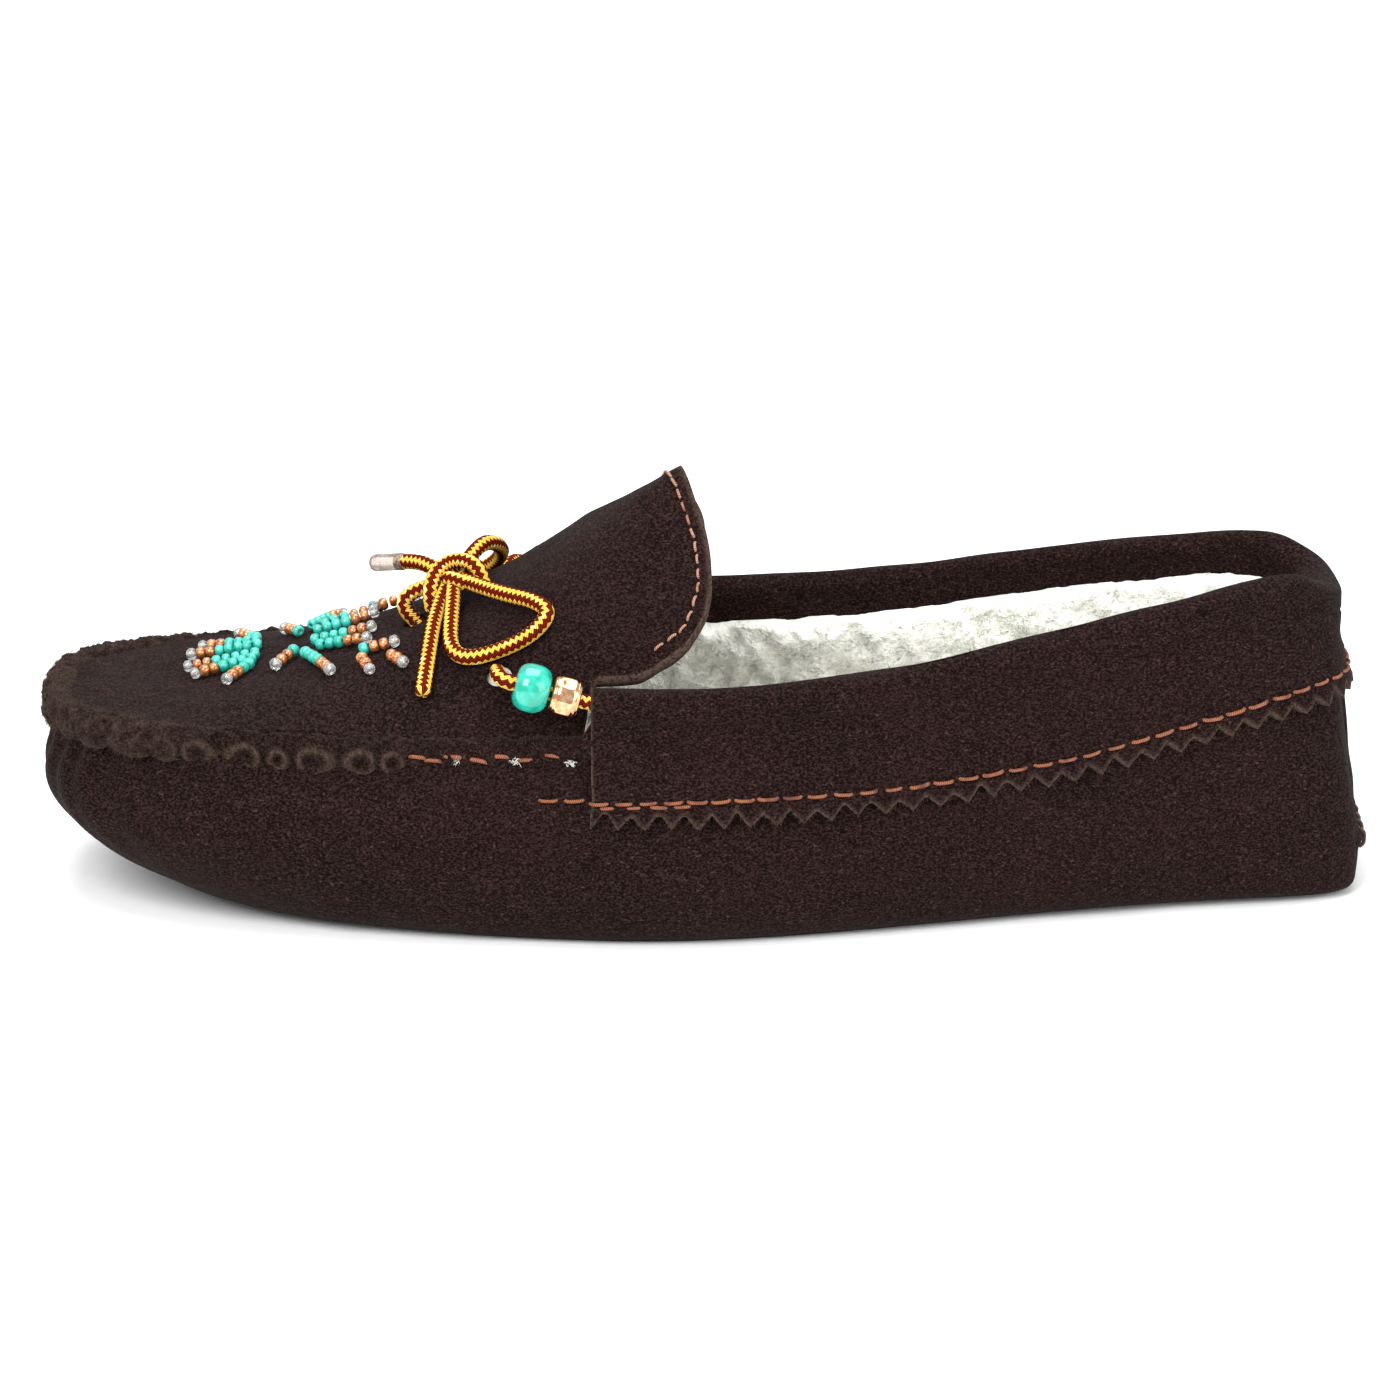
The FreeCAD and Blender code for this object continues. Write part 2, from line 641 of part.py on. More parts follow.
cord("lace_stub_far", on_apron(FAR_STUB))
cord("bow_loop_near", on_apron(NEAR_LOOP))
cord("bow_loop_far", on_apron(FAR_LOOP))
cord("bow_tail_near", on_apron(NEAR_TAIL))
cord("bow_tail_far", on_apron(FAR_TAIL))

aglet = document.addObject("Part::Cylinder", "aglet")
aglet.Label = "aglet"
aglet.setExpression("Radius", "dimensions.aglet_diameter / 2")
aglet.setExpression("Height", "dimensions.aglet_length")
tail_end, tail_before = on_apron(FAR_TAIL)[-1], on_apron(FAR_TAIL)[-2]
tail_direction = (tail_end - tail_before).normalize()
aglet.Placement = FreeCAD.Placement(tail_end, FreeCAD.Rotation(Vector(0, 0, 1), tail_direction))


# ---------------------------------------------------------------- beads on the lace
def plane_of(body, role):
    """An origin plane of the body itself."""
    return [item for item in body.Origin.OriginFeatures if item.Role == role][0]


def turned_bead(label, centre, direction, diameter, length, crown):
    """A bored bead turned about its own axis: flat ends, a crowned side, the bore on the lace's line."""
    body = document.addObject("PartDesign::Body", label)
    body.Label = label
    sketch = body.newObject("Sketcher::SketchObject", label + "_profile")
    sketch.AttachmentSupport = [(plane_of(body, "XZ_Plane"), "")]
    sketch.MapMode = "FlatFace"
    bore, end, outer = size("bead_bore") / 2, crown * size(diameter) / 2, size(diameter) / 2
    half = size(length) / 2
    corners = [Vector(bore, -half, 0), Vector(end, -half, 0), Vector(end, half, 0), Vector(bore, half, 0)]
    sketch.addGeometry(Part.LineSegment(corners[0], corners[1]))
    sketch.addGeometry(Part.Arc(corners[1], Vector(outer, 0, 0), corners[2]))
    sketch.addGeometry(Part.LineSegment(corners[2], corners[3]))
    sketch.addGeometry(Part.LineSegment(corners[3], corners[0]))
    revolution = body.newObject("PartDesign::Revolution", label + "_turned")
    revolution.Profile = sketch
    revolution.ReferenceAxis = (sketch, ["V_Axis"])
    revolution.Angle = 360.0
    body.Tip = revolution
    body.Placement = FreeCAD.Placement(centre, FreeCAD.Rotation(Vector(0, 0, 1), direction))
    return body


for name, turn in (("near", lambda point: point), ("far", mirrored)):
    line = turn(BEAD_LINE)
    turned_bead("pony_bead_" + name, turn(PONY_BEAD), line, "pony_bead_diameter", "pony_bead_length", 0.66)
    turned_bead("metal_bead_" + name, turn(METAL_BEAD), line, "metal_bead_diameter", "metal_bead_length", 0.7)

# ---------------------------------------------------------------- seed beads
# Strands of small beads on the apron, each (start x, start y, end x, end y), from the inner end outwards,
# repeated as a mirror image about the design's middle line.
STRAND_MIDDLE = 2.6
STRANDS = (
    (-83.6, -0.2, -98.2, -1.2),
    (-84.0, -2.8, -96.4, -6.2),
    (-84.8, -5.2, -89.4, -13.0),
    (-76.4, -2.8, -80.4, -10.4),
    (-74.8, -6.0, -68.8, -17.8),
    (-73.8, -0.4, -61.2, -1.9),
    (-72.6, -4.0, -61.8, -7.9),
    (-64.0, -12.2, -56.2, -13.2),
    (-63.6, -14.8, -61.2, -20.8),
    (-58.0, -16.8, -54.8, -20.9),
)


def strand_beads(start_x, start_y, end_x, end_y):
    """(centre, direction) of the beads of one strand, end to end on the apron."""
    first, last = place_above(start_x, start_y), place_above(end_x, end_y)
    count = max(int((last - first).Length / (size("seed_bead_length") + 0.12)), 3)
    found = []
    for i in range(count):
        share = (i + 0.5) / count
        x, y = start_x + (end_x - start_x) * share, start_y + (end_y - start_y) * share
        along = (last - first).normalize()
        ahead = place_above(x + 0.5 * along.x, y + 0.5 * along.y) - place_above(x, y)
        lift = size("seed_bead_diameter") / 2 + 0.15
        found.append((place_above(x, y) + apron_normal(x, y) * lift, ahead.normalize()))
    return found


def seed_bead(centre, direction):
    """A short bored tube."""
    length = size("seed_bead_length")
    base = centre - direction * (length / 2)
    outer = Part.makeCylinder(size("seed_bead_diameter") / 2, length, base, direction)
    return outer.cut(Part.makeCylinder(size("seed_bead_bore") / 2, length, base, direction))


seed_groups = {"turquoise_beads": [], "copper_beads": [], "clear_beads": []}
for start_x, start_y, end_x, end_y in STRANDS:
    for side in (-1, 1):
        shift = STRAND_MIDDLE * (1 + side)
        beads = strand_beads(start_x, shift - side * start_y, end_x, shift - side * end_y)
        for i, (centre, direction) in enumerate(beads):
            to_tip = len(beads) - 1 - i
            group = "clear_beads" if to_tip == 0 else "copper_beads" if to_tip <= 2 else "turquoise_beads"
            seed_groups[group].append(seed_bead(centre, direction))
for group, beads in seed_groups.items():
    add(group, Part.makeCompound(beads))
    print(group, len(beads), "beads")


# ---------------------------------------------------------------- stitches
def stitch(point, along, normal):
    """One straight thread stitch lying on a surface."""
    length = size("stitch_length")
    start = point + normal * (THREAD / 2 + 0.2) - along * (length / 2)
    return Part.makeCylinder(THREAD / 2, length, start, along)


def cuff_stitches():
    """A running line above the pinked edge, carried two stitches ahead of the cuff on each side."""
    pitch = size("stitch_pitch")
    stitches = []
    for point, along, normal in rim_path(CUFF_EDGE, size("cuff_stitch_rise"), OUTER_FLAP, pitch, 3.0):
        outward = normal if normal.dot(Vector(point.x * 0.2, point.y, 0)) > 0 else normal * -1
        stitches.append(stitch(point, along, outward))
    for side in (-1, 1):
        for ahead in (3.4, 8.2):
            share = (CUFF_FRONT - ahead + HALF_LENGTH) / (2 * HALF_LENGTH)
            height = curve_height(CUFF_EDGE, CUFF_FRONT - ahead) + size("cuff_stitch_rise")
            here, after = skin_point(height, share, side), skin_point(height, share + 0.002, side)
            along = (after - here).normalize()
            stitches.append(stitch(here, along, Vector(along.y, -along.x, 0) * -side))
    return stitches


def tongue_stitches():
    """A line a few millimetres inside the tongue's free edge."""
    edge = tongue_outline(0.0).Edges[0]
    count = int(edge.Length / (size("stitch_pitch") * 0.62))
    stitches = []
    for point in edge.discretize(count):
        level = edge.Curve.tangent(edge.Curve.parameter(point))[0]
        point = point + Vector(-level.y, level.x, 0) * 3.2
        if point.x < FOLD_X + 3.0:
            continue
        here = place_above(point.x, point.y)
        along = (place_above(point.x + 0.6 * level.x, point.y + 0.6 * level.y) - here).normalize()
        start = here + apron_normal(point.x, point.y) * (THREAD / 2 + 0.1) - along * 0.9
        stitches.append(Part.makeCylinder(THREAD / 2, 1.8, start, along))
    return stitches


def apron_stitches():
    """The seam's coarse stitches where it runs ungathered, between the last pleat and the cuff."""
    stitches = []
    for side in (-1, 1):
        for i in range(7):
            share = (HALF_LENGTH - 52.0 + 4.4 * i) / (2 * HALF_LENGTH)
            height = curve_height(SEAM, skin_point(35.5, share, side).x) - 2.4
            here = skin_point(height, share, side, -1.75)
            after = skin_point(height, share + 0.002, side, -1.75)
            along = (after - here).normalize()
            stitches.append(stitch(here, along, Vector(0, side, 0)))
    return stitches


def heel_stitches():
    """Short stitches down both sides of the heel's cross seam."""
    stitches = []
    for i in range(7):
        y = -13.5 + 4.5 * i
        start = Vector(HALF_LENGTH + 0.3, y, 11.4)
        stitches.append(Part.makeCylinder(THREAD / 2, 3.6, start, Vector(0, 0, -1)))
    return stitches


add("cuff_stitches", Part.makeCompound(cuff_stitches()))
add("tongue_stitches", Part.makeCompound(tongue_stitches()))
add("apron_stitches", Part.makeCompound(apron_stitches()))
add("heel_stitches", Part.makeCompound(heel_stitches()))

document.recompute()
os.makedirs("parts", exist_ok=True)
named = [item for item in document.Objects if hasattr(item, "Shape") and item.Label in NODES]
for item in document.Objects:
    bad = [state for state in item.State if state in ("Invalid", "Error")]
    assert not bad, f"{item.Label}: {bad}"
assert len(named) == len(NODES), sorted(NODES - {item.Label for item in named})
for item in named:
    assert not item.Shape.isNull() and item.Shape.isValid(), f"{item.Label} has no valid shape"
    item.Shape.exportStep(f"parts/{item.Label}.step")
    print(item.Label, len(item.Shape.Solids), "solids,", round(item.Shape.Volume), "mm3")
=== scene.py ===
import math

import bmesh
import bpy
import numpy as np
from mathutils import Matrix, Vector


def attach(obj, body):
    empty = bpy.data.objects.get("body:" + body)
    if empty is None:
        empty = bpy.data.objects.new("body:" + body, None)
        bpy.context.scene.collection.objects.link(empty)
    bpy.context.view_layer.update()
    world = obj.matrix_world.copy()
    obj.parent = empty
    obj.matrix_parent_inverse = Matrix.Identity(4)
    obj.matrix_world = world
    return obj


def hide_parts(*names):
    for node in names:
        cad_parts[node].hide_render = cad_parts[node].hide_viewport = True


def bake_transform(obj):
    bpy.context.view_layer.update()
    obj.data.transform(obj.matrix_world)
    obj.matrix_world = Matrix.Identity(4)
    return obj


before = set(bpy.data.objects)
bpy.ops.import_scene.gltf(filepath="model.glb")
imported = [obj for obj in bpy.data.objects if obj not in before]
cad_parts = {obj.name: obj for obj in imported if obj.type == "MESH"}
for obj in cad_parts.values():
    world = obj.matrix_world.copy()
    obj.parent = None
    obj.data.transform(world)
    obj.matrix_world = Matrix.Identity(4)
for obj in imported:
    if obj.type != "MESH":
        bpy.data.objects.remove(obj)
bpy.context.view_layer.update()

# %% [markdown]
# # A lined suede moccasin
# One sheet of suede wraps the sole and the sides and is gathered around a suede apron. A pinked cuff is
# folded over the rim, a braided lace runs inside the fold, and the inside is lined with woolly pile.
# Every shape below is a formula on a numpy grid. Lengths inside the formulas are millimetres and turn into
# metres when a mesh is made. Toe towards -X, heel towards +X, outer side of the foot towards -Y.

MM = 0.001
SEED = 20


# %% [markdown]
# ## Shape language
# The shoe has one skin. Its outline at each height is a pinched ellipse from toe to heel, and every layer
# (suede, cuff, pile, insole) is that skin moved in or out. Side view curves give the seam, the cuff's top
# and bottom edge and the ridge of the apron, so the pieces meet exactly because they share them.

# %% The skin and its side view curves
HALF_LENGTH, HALF_BALL, HALF_HEEL = 125.0, 48.0, 30.8
SUEDE, LACE, CUFF_FRONT, FOLD_X = 1.6, 3.0, -20.5, -22.3
WIDEST_HEIGHT, WAIST_START, WAIST_LENGTH, TOE_BLUNTNESS, TOE_BEND = 21.0, -20.0, 130.0, 0.62, -2.0
# height, toe set back, heel set back, ball drawn in, beside the heel drawn in, heel bluntness
LEVELS = (
    (0.0, 38.0, 3.4, 4.7, 9.0, 0.20),
    (1.5, 30.5, 1.6, 2.6, 5.0, 0.22),
    (4.0, 23.5, 1.0, 1.0, 2.2, 0.26),
    (9.0, 13.5, 0.8, 0.0, 0.5, 0.30),
    (15.0, 5.0, 1.4, 0.2, 0.0, 0.33),
    (21.0, 0.7, 2.2, 1.5, 0.0, 0.35),
    (28.0, 0.2, 3.1, 5.2, 0.2, 0.40),
    (36.0, 2.8, 4.4, 10.4, 0.5, 0.47),
    (46.0, 7.5, 5.8, 11.0, 1.0, 0.58),
    (66.0, 14.0, 8.2, 12.0, 2.2, 0.75),
)
SEAM = ((-128, 36.8), (-109, 36.2), (-90, 35.5), (-68, 35.2), (-40, 35.8), (-20, 36.5))
CUFF_TOP = (
    (-25, 46.8), (5, 46.8), (37, 49.8), (57, 53.4), (76, 56.9), (94, 59.8),
    (106, 61.7), (113, 61.8), (119, 58.5),
)
CUFF_EDGE = ((-25, 23.4), (7, 23.6), (37, 24.4), (68, 28.0), (94, 33.8), (112, 37.4), (122, 38.2))
RIDGE = (
    (-130, 36.8), (-119, 37.2), (-109, 37.7), (-95.5, 39.0), (-76.5, 42.9),
    (-57.5, 48.6), (-38.5, 57.2), (-19.6, 69.4), (-4, 79.0), (8, 85.0),
)
SIDE_LINE = (
    (-130, 36.6), (-109, 36.2), (-90, 35.5), (-68, 35.2), (-40, 35.8),
    (-24, 36.4), (-12, 35.5), (-7, 39.0), (0, 44.0), (8, 49.0),
)
APRON_HALF_WIDTH, CROWN_SOFTNESS, APRON_THICKNESS, SEAM_HEIGHT = 33.5, 3.0, 2.0, 35.5


def smooth(share):
    """0 to 1 with flat ends: 3 t^2 - 2 t^3."""
    t = np.clip(share, 0.0, 1.0)
    return t * t * (3 - 2 * t)


def curve(points, x):
    """A smooth curve through (x, value) points by cubic pieces whose slopes are those of the neighbours."""
    px, pz = np.array(points, float).T
    slopes = np.empty_like(pz)
    slopes[1:-1] = (pz[2:] - pz[:-2]) / (px[2:] - px[:-2])
    slopes[0], slopes[-1] = (pz[1] - pz[0]) / (px[1] - px[0]), (pz[-1] - pz[-2]) / (px[-1] - px[-2])
    x = np.asarray(x, float)
    i = np.clip(np.searchsorted(px, x, side="right") - 1, 0, len(px) - 2)
    width = px[i + 1] - px[i]
    t = np.clip((x - px[i]) / width, 0.0, 1.0)
    value = pz[i] * (1 + 2 * t) * (1 - t) ** 2 + pz[i + 1] * t * t * (3 - 2 * t)
    value = value + width * slopes[i] * t * (1 - t) ** 2 + width * slopes[i + 1] * t * t * (t - 1)
    return value + slopes[0] * np.minimum(x - px[0], 0) + slopes[-1] * np.maximum(x - px[-1], 0)


def bend(x):
    """How far the toe leans towards the outer side."""
    return TOE_BEND * smooth((-x - 40.0) / 80.0)


def level_at(height, inset):
    """The skin's toe x, heel x, half width at the ball, half width at the heel and heel bluntness."""
    toe, heel, ball, back, bluntness = (curve([(row[0], row[k]) for row in LEVELS], height) for k in range(1, 6))
    return inset - HALF_LENGTH + toe, HALF_LENGTH - heel - inset, HALF_BALL - ball, HALF_HEEL - back, bluntness


def half_at(x, share, sine, widths, inset):
    """Half width (ball + (back - ball) waist - inset) sine^bluntness, a share of the way from toe to heel."""
    ball, back, heel_bluntness = widths
    half = ball + (back - ball) * smooth((x - WAIST_START) / WAIST_LENGTH) - inset
    return half * sine ** (TOE_BLUNTNESS + (heel_bluntness - TOE_BLUNTNESS) * smooth(share))


def skin(angle, height, inset=0.0):
    """Points of the skin at an angle round the shoe: 0 at the toe, pi at the heel, outer side first.

    x = toe + (heel - toe)(1 - cos a)/2 and y = -+ half(x) |sin a|^bluntness.
    """
    angle, height = np.broadcast_arrays(np.asarray(angle, float), np.asarray(height, float))
    toe, heel, *widths = level_at(height, inset)
    share = 0.5 * (1 - np.cos(angle))
    x = toe + (heel - toe) * share
    side = np.where(angle < math.pi, -1.0, 1.0)
    y = side * half_at(x, share, np.abs(np.sin(angle)), widths, inset) + bend(x)
    base = max(inset, 0.0)
    z = np.where(height < WIDEST_HEIGHT, base + height * (WIDEST_HEIGHT - base) / WIDEST_HEIGHT, height)
    return np.stack([x, y, z], axis=-1)


def unit(vectors):
    """Vectors brought to length 1."""
    return vectors / np.maximum(np.linalg.norm(vectors, axis=-1, keepdims=True), 1e-9)


def arc_length(points):
    """Distance travelled along points, starting at 0."""
    steps = np.linalg.norm(np.diff(points, axis=0), axis=1)
    return np.concatenate([[0.0], np.cumsum(steps)])


def even_angles(count, start, end, height=30.0, inset=0.0):
    """Angles between two angles whose skin points are the same distance apart."""
    t = np.linspace(0, 1, 12001)
    fine = start + (end - start) * t
    near_heel = (fine - math.pi) / math.pi
    fine = np.where(np.abs(near_heel) < 0.25, math.pi + math.pi * near_heel * np.abs(near_heel) * 4, fine)
    near_toe = np.minimum(fine, 2 * math.pi - fine)
    squeezed = np.where(near_toe < 0.5, near_toe ** 2 / 0.5, near_toe)
    fine = np.where(fine < math.pi, squeezed, 2 * math.pi - squeezed)
    travelled = arc_length(skin(fine, height, inset))
    return np.interp(np.linspace(0, travelled[-1], count), travelled, fine)


def level_normal(points, axis=1):
    """Level unit vectors pointing out of the shoe, square to the way the angle grows."""
    along = np.gradient(points, axis=axis)
    return unit(np.stack([along[..., 1], -along[..., 0], np.zeros_like(along[..., 0])], axis=-1))


def front_angle(x=CUFF_FRONT, height=38.0):
    """The angle at which the skin has a given x on the outer side."""
    angles = np.linspace(0.01, math.pi - 0.01, 4001)
    return float(np.interp(x, skin(angles, height)[:, 0], angles))


def side_angle(x, height, side):
    """That angle on the outer side (-1) or the inner side (+1)."""
    angle = front_angle(x, height)
    return angle if side < 0 else 2 * math.pi - angle


def beside(x, height, angle_height, side):
    """A point of the skin on one side, the way along the skin there and its level normal."""
    pair = skin(side_angle(x, angle_height, side) + np.array([0.0, 0.01]), height)
    return pair[0], pair[1] - pair[0], level_normal(pair[:, None, :], axis=0)[0, 0]


def apron_height(x, y):
    """Upper face of apron and tongue: z = side + (ridge - side)(1 - (|y| / w)^n), n falling to the tip."""
    across = np.sqrt((y - bend(x)) ** 2 + CROWN_SOFTNESS ** 2) - CROWN_SOFTNESS
    power = 2.2 - 1.12 * smooth((x + 26.0) / 24.0)
    side, ridge = curve(SIDE_LINE, x), curve(RIDGE, x)
    return side + (ridge - side) * (1 - (across / APRON_HALF_WIDTH) ** power)


def on_apron(x, y, rise=0.0):
    """Points a rise square to the apron's upper face, and that face's unit normals."""
    x, y = np.asarray(x, float), np.asarray(y, float)
    step = 0.25
    slope_x = (apron_height(x + step, y) - apron_height(x - step, y)) / (2 * step)
    slope_y = (apron_height(x, y + step) - apron_height(x, y - step)) / (2 * step)
    normal = unit(np.stack([-slope_x, -slope_y, np.ones_like(slope_x)], axis=-1))
    base = np.stack([x, y, apron_height(x, y)], axis=-1)
    return base + normal * np.asarray(rise)[..., None], normal


def waves(points, size, seed, count=9):
    """Smooth noise about -1 to 1: the mean of sines in random directions, size millimetres long."""
    random = np.random.default_rng(seed)
    directions = unit(random.normal(size=(count, 3)))
    stretch = random.uniform(0.7, 1.5, count)
    phases = random.uniform(0, 2 * math.pi, count)
    angles = points @ (directions * stretch[:, None]).T * (2 * math.pi / size) + phases
    return np.sin(angles).sum(axis=-1) / math.sqrt(count) * 0.8


# %% [markdown]
# ## Mesh helpers
# A piece is a grid of points. Closed pieces repeat their first row or column at the end, and the points
# that coincide are merged, so poles and seams close. Two-sided pieces have a front and a back grid whose
# borders run together into one rounded edge, as cut leather has.

# %% Mesh helpers
def make_object(name, points, faces, material, body, mark=None, uv=None, merge=True):
    """A smooth mesh object from points in millimetres, with a vertex mark for raw edges and its own UV map."""
    mesh = bpy.data.meshes.new(name)
    points = np.asarray(points, float).reshape(-1, 3) * MM
    faces = np.asarray(faces)
    mesh.from_pydata(points.tolist(), [], faces.tolist())
    if mark is not None:
        layer = mesh.attributes.new(name="raw_edge", type="FLOAT", domain="POINT")
        layer.data.foreach_set("value", np.asarray(mark, np.float32).ravel())
    if uv is not None:
        corners = np.empty(len(mesh.loops), np.int32)
        mesh.loops.foreach_get("vertex_index", corners)
        layer = mesh.uv_layers.new(name="UVMap")
        layer.data.foreach_set("uv", np.asarray(uv, np.float32).reshape(-1, 2)[corners].ravel())
    if merge:
        work = bmesh.new()
        work.from_mesh(mesh)
        bmesh.ops.remove_doubles(work, verts=work.verts, dist=2e-6)
        bmesh.ops.dissolve_degenerate(work, edges=work.edges, dist=1e-7)
        bmesh.ops.recalc_face_normals(work, faces=work.faces)
        work.to_mesh(mesh)
        work.free()
    mesh.polygons.foreach_set("use_smooth", [True] * len(mesh.polygons))
    mesh.materials.append(material)
    made = bpy.data.objects.new(name, mesh)
    bpy.context.scene.collection.objects.link(made)
    if body:
        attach(made, body)
    return made


def declare(piece, slot, *nodes):
    """Hides the CAD nodes a piece stands for; the piece and its slot are not used."""
    if nodes:
        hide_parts(*nodes)


def bend_with_tongue(piece):
    """Bakes a piece's world transform into its mesh."""
    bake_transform(piece)


def grid_faces(rows, columns):
    """Quads of a grid of points."""
    index = np.arange(rows * columns).reshape(rows, columns)
    quads = [index[:-1, :-1], index[:-1, 1:], index[1:, 1:], index[1:, :-1]]
    return np.stack(quads, axis=-1).reshape(-1, 4)


def grid_piece(name, grid, material, body="shoe", mark=None, uv=None):
    """One grid as an object."""
    return make_object(name, grid, grid_faces(*grid.shape[:2]), material, body, mark, uv)


def two_sided(name, front, back, material, body="shoe", mark=None):
    """A sheet with thickness: front and back grids joined along all four borders."""
    middle = 0.5 * (front + back)
    if mark is None:
        mark = np.zeros(front.shape[:2])
    loop = np.concatenate([middle[:1], front, middle[-1:], back[::-1], middle[:1]], axis=0)
    loop_mark = np.concatenate([mark[:1], mark, mark[-1:], mark[::-1], mark[:1]], axis=0)
    pair = np.concatenate([middle[:1], middle, middle[-1:], middle[::-1], middle[:1]], axis=0)
    loop = np.concatenate([pair[:, :1], loop, pair[:, -1:]], axis=1)
    loop_mark = np.concatenate([loop_mark[:, :1], loop_mark, loop_mark[:, -1:]], axis=1)
    made = grid_piece(name, loop, material, body, loop_mark)
    print(name, front.shape[0], "x", front.shape[1], "points a side")
    return made


def frames(path):
    """Unit tangents and two unit normals carried along a path without twisting."""
    tangent = unit(np.gradient(path, axis=0))
    start = np.cross(tangent[0], [0.0, 0.0, 1.0])
    if np.linalg.norm(start) < 0.1:
        start = np.cross(tangent[0], [1.0, 0.0, 0.0])
    normals = [unit(start)]
    for step in tangent[1:]:
        normals.append(unit(normals[-1] - step * np.dot(step, normals[-1])))
    normals = np.array(normals)
    return tangent, normals, np.cross(tangent, normals)


def tube_grid(path, radius, sides, start_round=True, end_round=True, relief=0.0, relief_pitch=2.2):
    """A round tube along a path with rounded ends; relief is the depth of a braid's plaits.

    r = radius + relief * sin(4a + k s) sin(4a - k s), whose crossings are the plaits.
    """
    travelled = arc_length(path)
    tangent, side, up = frames(path)
    angle = np.linspace(0, 2 * math.pi, sides + 1)
    ripple = 2 * math.pi * travelled[:, None] / relief_pitch
    bumps = np.sin(4 * angle[None, :] + ripple) * np.sin(4 * angle[None, :] - ripple)
    reach = radius + relief * bumps
    ring = np.cos(angle)[None, :, None] * side[:, None, :] + np.sin(angle)[None, :, None] * up[:, None, :]
    along = np.broadcast_to(travelled[:, None], reach.shape)
    pieces, lengths = [path[:, None, :] + reach[..., None] * ring], [along]
    for at, sign, wanted in ((0, -1.0, start_round), (-1, 1.0, end_round)):
        caps = []
        for turn in (0.45, 0.9, 1.25, math.pi / 2):
            bulge = math.sin(turn) * radius * (0.7 if wanted else 0.05)
            caps.append(path[at] + sign * tangent[at] * bulge + ring[at] * radius * math.cos(turn))
        caps = np.array(caps)
        cap_lengths = np.full(caps.shape[:2], along[at, 0])
        if sign < 0:
            pieces.insert(0, caps[::-1])
            lengths.insert(0, cap_lengths)
        else:
            pieces.append(caps)
            lengths.append(cap_lengths)
    grid, distance = np.concatenate(pieces), np.concatenate(lengths)
    around = np.broadcast_to(angle[None, :] / (2 * math.pi), distance.shape)
    return grid, np.stack([around, distance / 10.0], axis=-1)


def spline_path(name, points, spacing=0.25):
    """The line of a NURBS spline of order 3 with these control points, at even spacing, in millimetres."""
    data = bpy.data.curves.new(name, "CURVE")
    data.dimensions = "3D"
    spline = data.splines.new("NURBS")
    spline.points.add(len(points) - 1)
    for place, point in zip(spline.points, points):
        place.co = (*(float(value) * MM for value in point), 1.0)
    spline.order_u = 3
    spline.use_endpoint_u = True
    data.resolution_u = 24
    holder = bpy.data.objects.new(name, data)
    bpy.context.scene.collection.objects.link(holder)
    bpy.context.view_layer.update()
    line = bpy.data.meshes.new_from_object(holder)
    found = np.empty(len(line.vertices) * 3)
    line.vertices.foreach_get("co", found)
    bpy.data.objects.remove(holder)
    bpy.data.curves.remove(data)
    bpy.data.meshes.remove(line)
    found = found.reshape(-1, 3) / MM
    travelled = arc_length(found)
    marks = np.linspace(0, travelled[-1], max(int(travelled[-1] / spacing), 8))
    return np.stack([np.interp(marks, travelled, found[:, k]) for k in range(3)], axis=-1)


def many(name, points, faces, offsets, material, body, axes=None, scale=None, uv=None):
    """Copies of one small shape at many places: offsets are centres, axes are (n, 3, 3) unit axes."""
    points = np.asarray(points, float)
    copies = len(offsets)
    scale = np.ones(copies) if scale is None else scale
    placed = np.einsum("pk,nkj->npj", points, axes) * scale[:, None, None] + np.asarray(offsets)[:, None, :]
    shift = (np.arange(copies) * len(points))[:, None, None]
    all_faces = (np.asarray(faces)[None] + shift).reshape(-1, np.asarray(faces).shape[1])
    all_uv = None if uv is None else np.tile(uv, (copies, 1))
    return make_object(name, placed, all_faces, material, body, uv=all_uv)


def laid_axes(along, normals, random, turn):
    """Axes (along, across, up) of small things that lie on a surface, each turned a little."""
    along = unit(unit(along) + random.normal(0, turn, along.shape))
    across = unit(np.cross(normals, along))
    return np.stack([along, across, np.cross(along, across)], axis=1)


def fibres(name, roots, directions, material, body, length, width, seed, curl=0.6):
    """Short curled hairs, each a three-sided spike in two lengths, rooted on a surface."""
    random = np.random.default_rng(seed)
    count = len(roots)
    lengths = length * random.uniform(0.5, 1.3, (count, 1))
    first = unit(directions + curl * unit(random.normal(size=(count, 3))))
    second = unit(first + curl * random.normal(size=(count, 3)))
    side = unit(np.cross(first, [0.3, 0.5, 0.8]))
    up = np.cross(first, side)
    rings = []
    for centre, share in ((roots - first * 0.2, 1.0), (roots + first * lengths * 0.55, 0.7)):
        for turn in range(3):
            angle = 2 * math.pi * turn / 3
            rings.append(centre + (side * math.cos(angle) + up * math.sin(angle)) * width * share / 2)
    tip = roots + first * lengths * 0.55 + second * lengths * 0.45
    points = np.stack(rings + [tip], axis=1)
    triangles = []
    for turn in range(3):
        following = (turn + 1) % 3
        triangles += [(turn, following, 3 + following), (turn, 3 + following, 3 + turn)]
        triangles += [(3 + turn, 3 + following, 6)]
    faces = np.array(triangles)[None] + (np.arange(count) * 7)[:, None, None]
    return make_object(name, points, faces.reshape(-1, 3), material, body, merge=False)


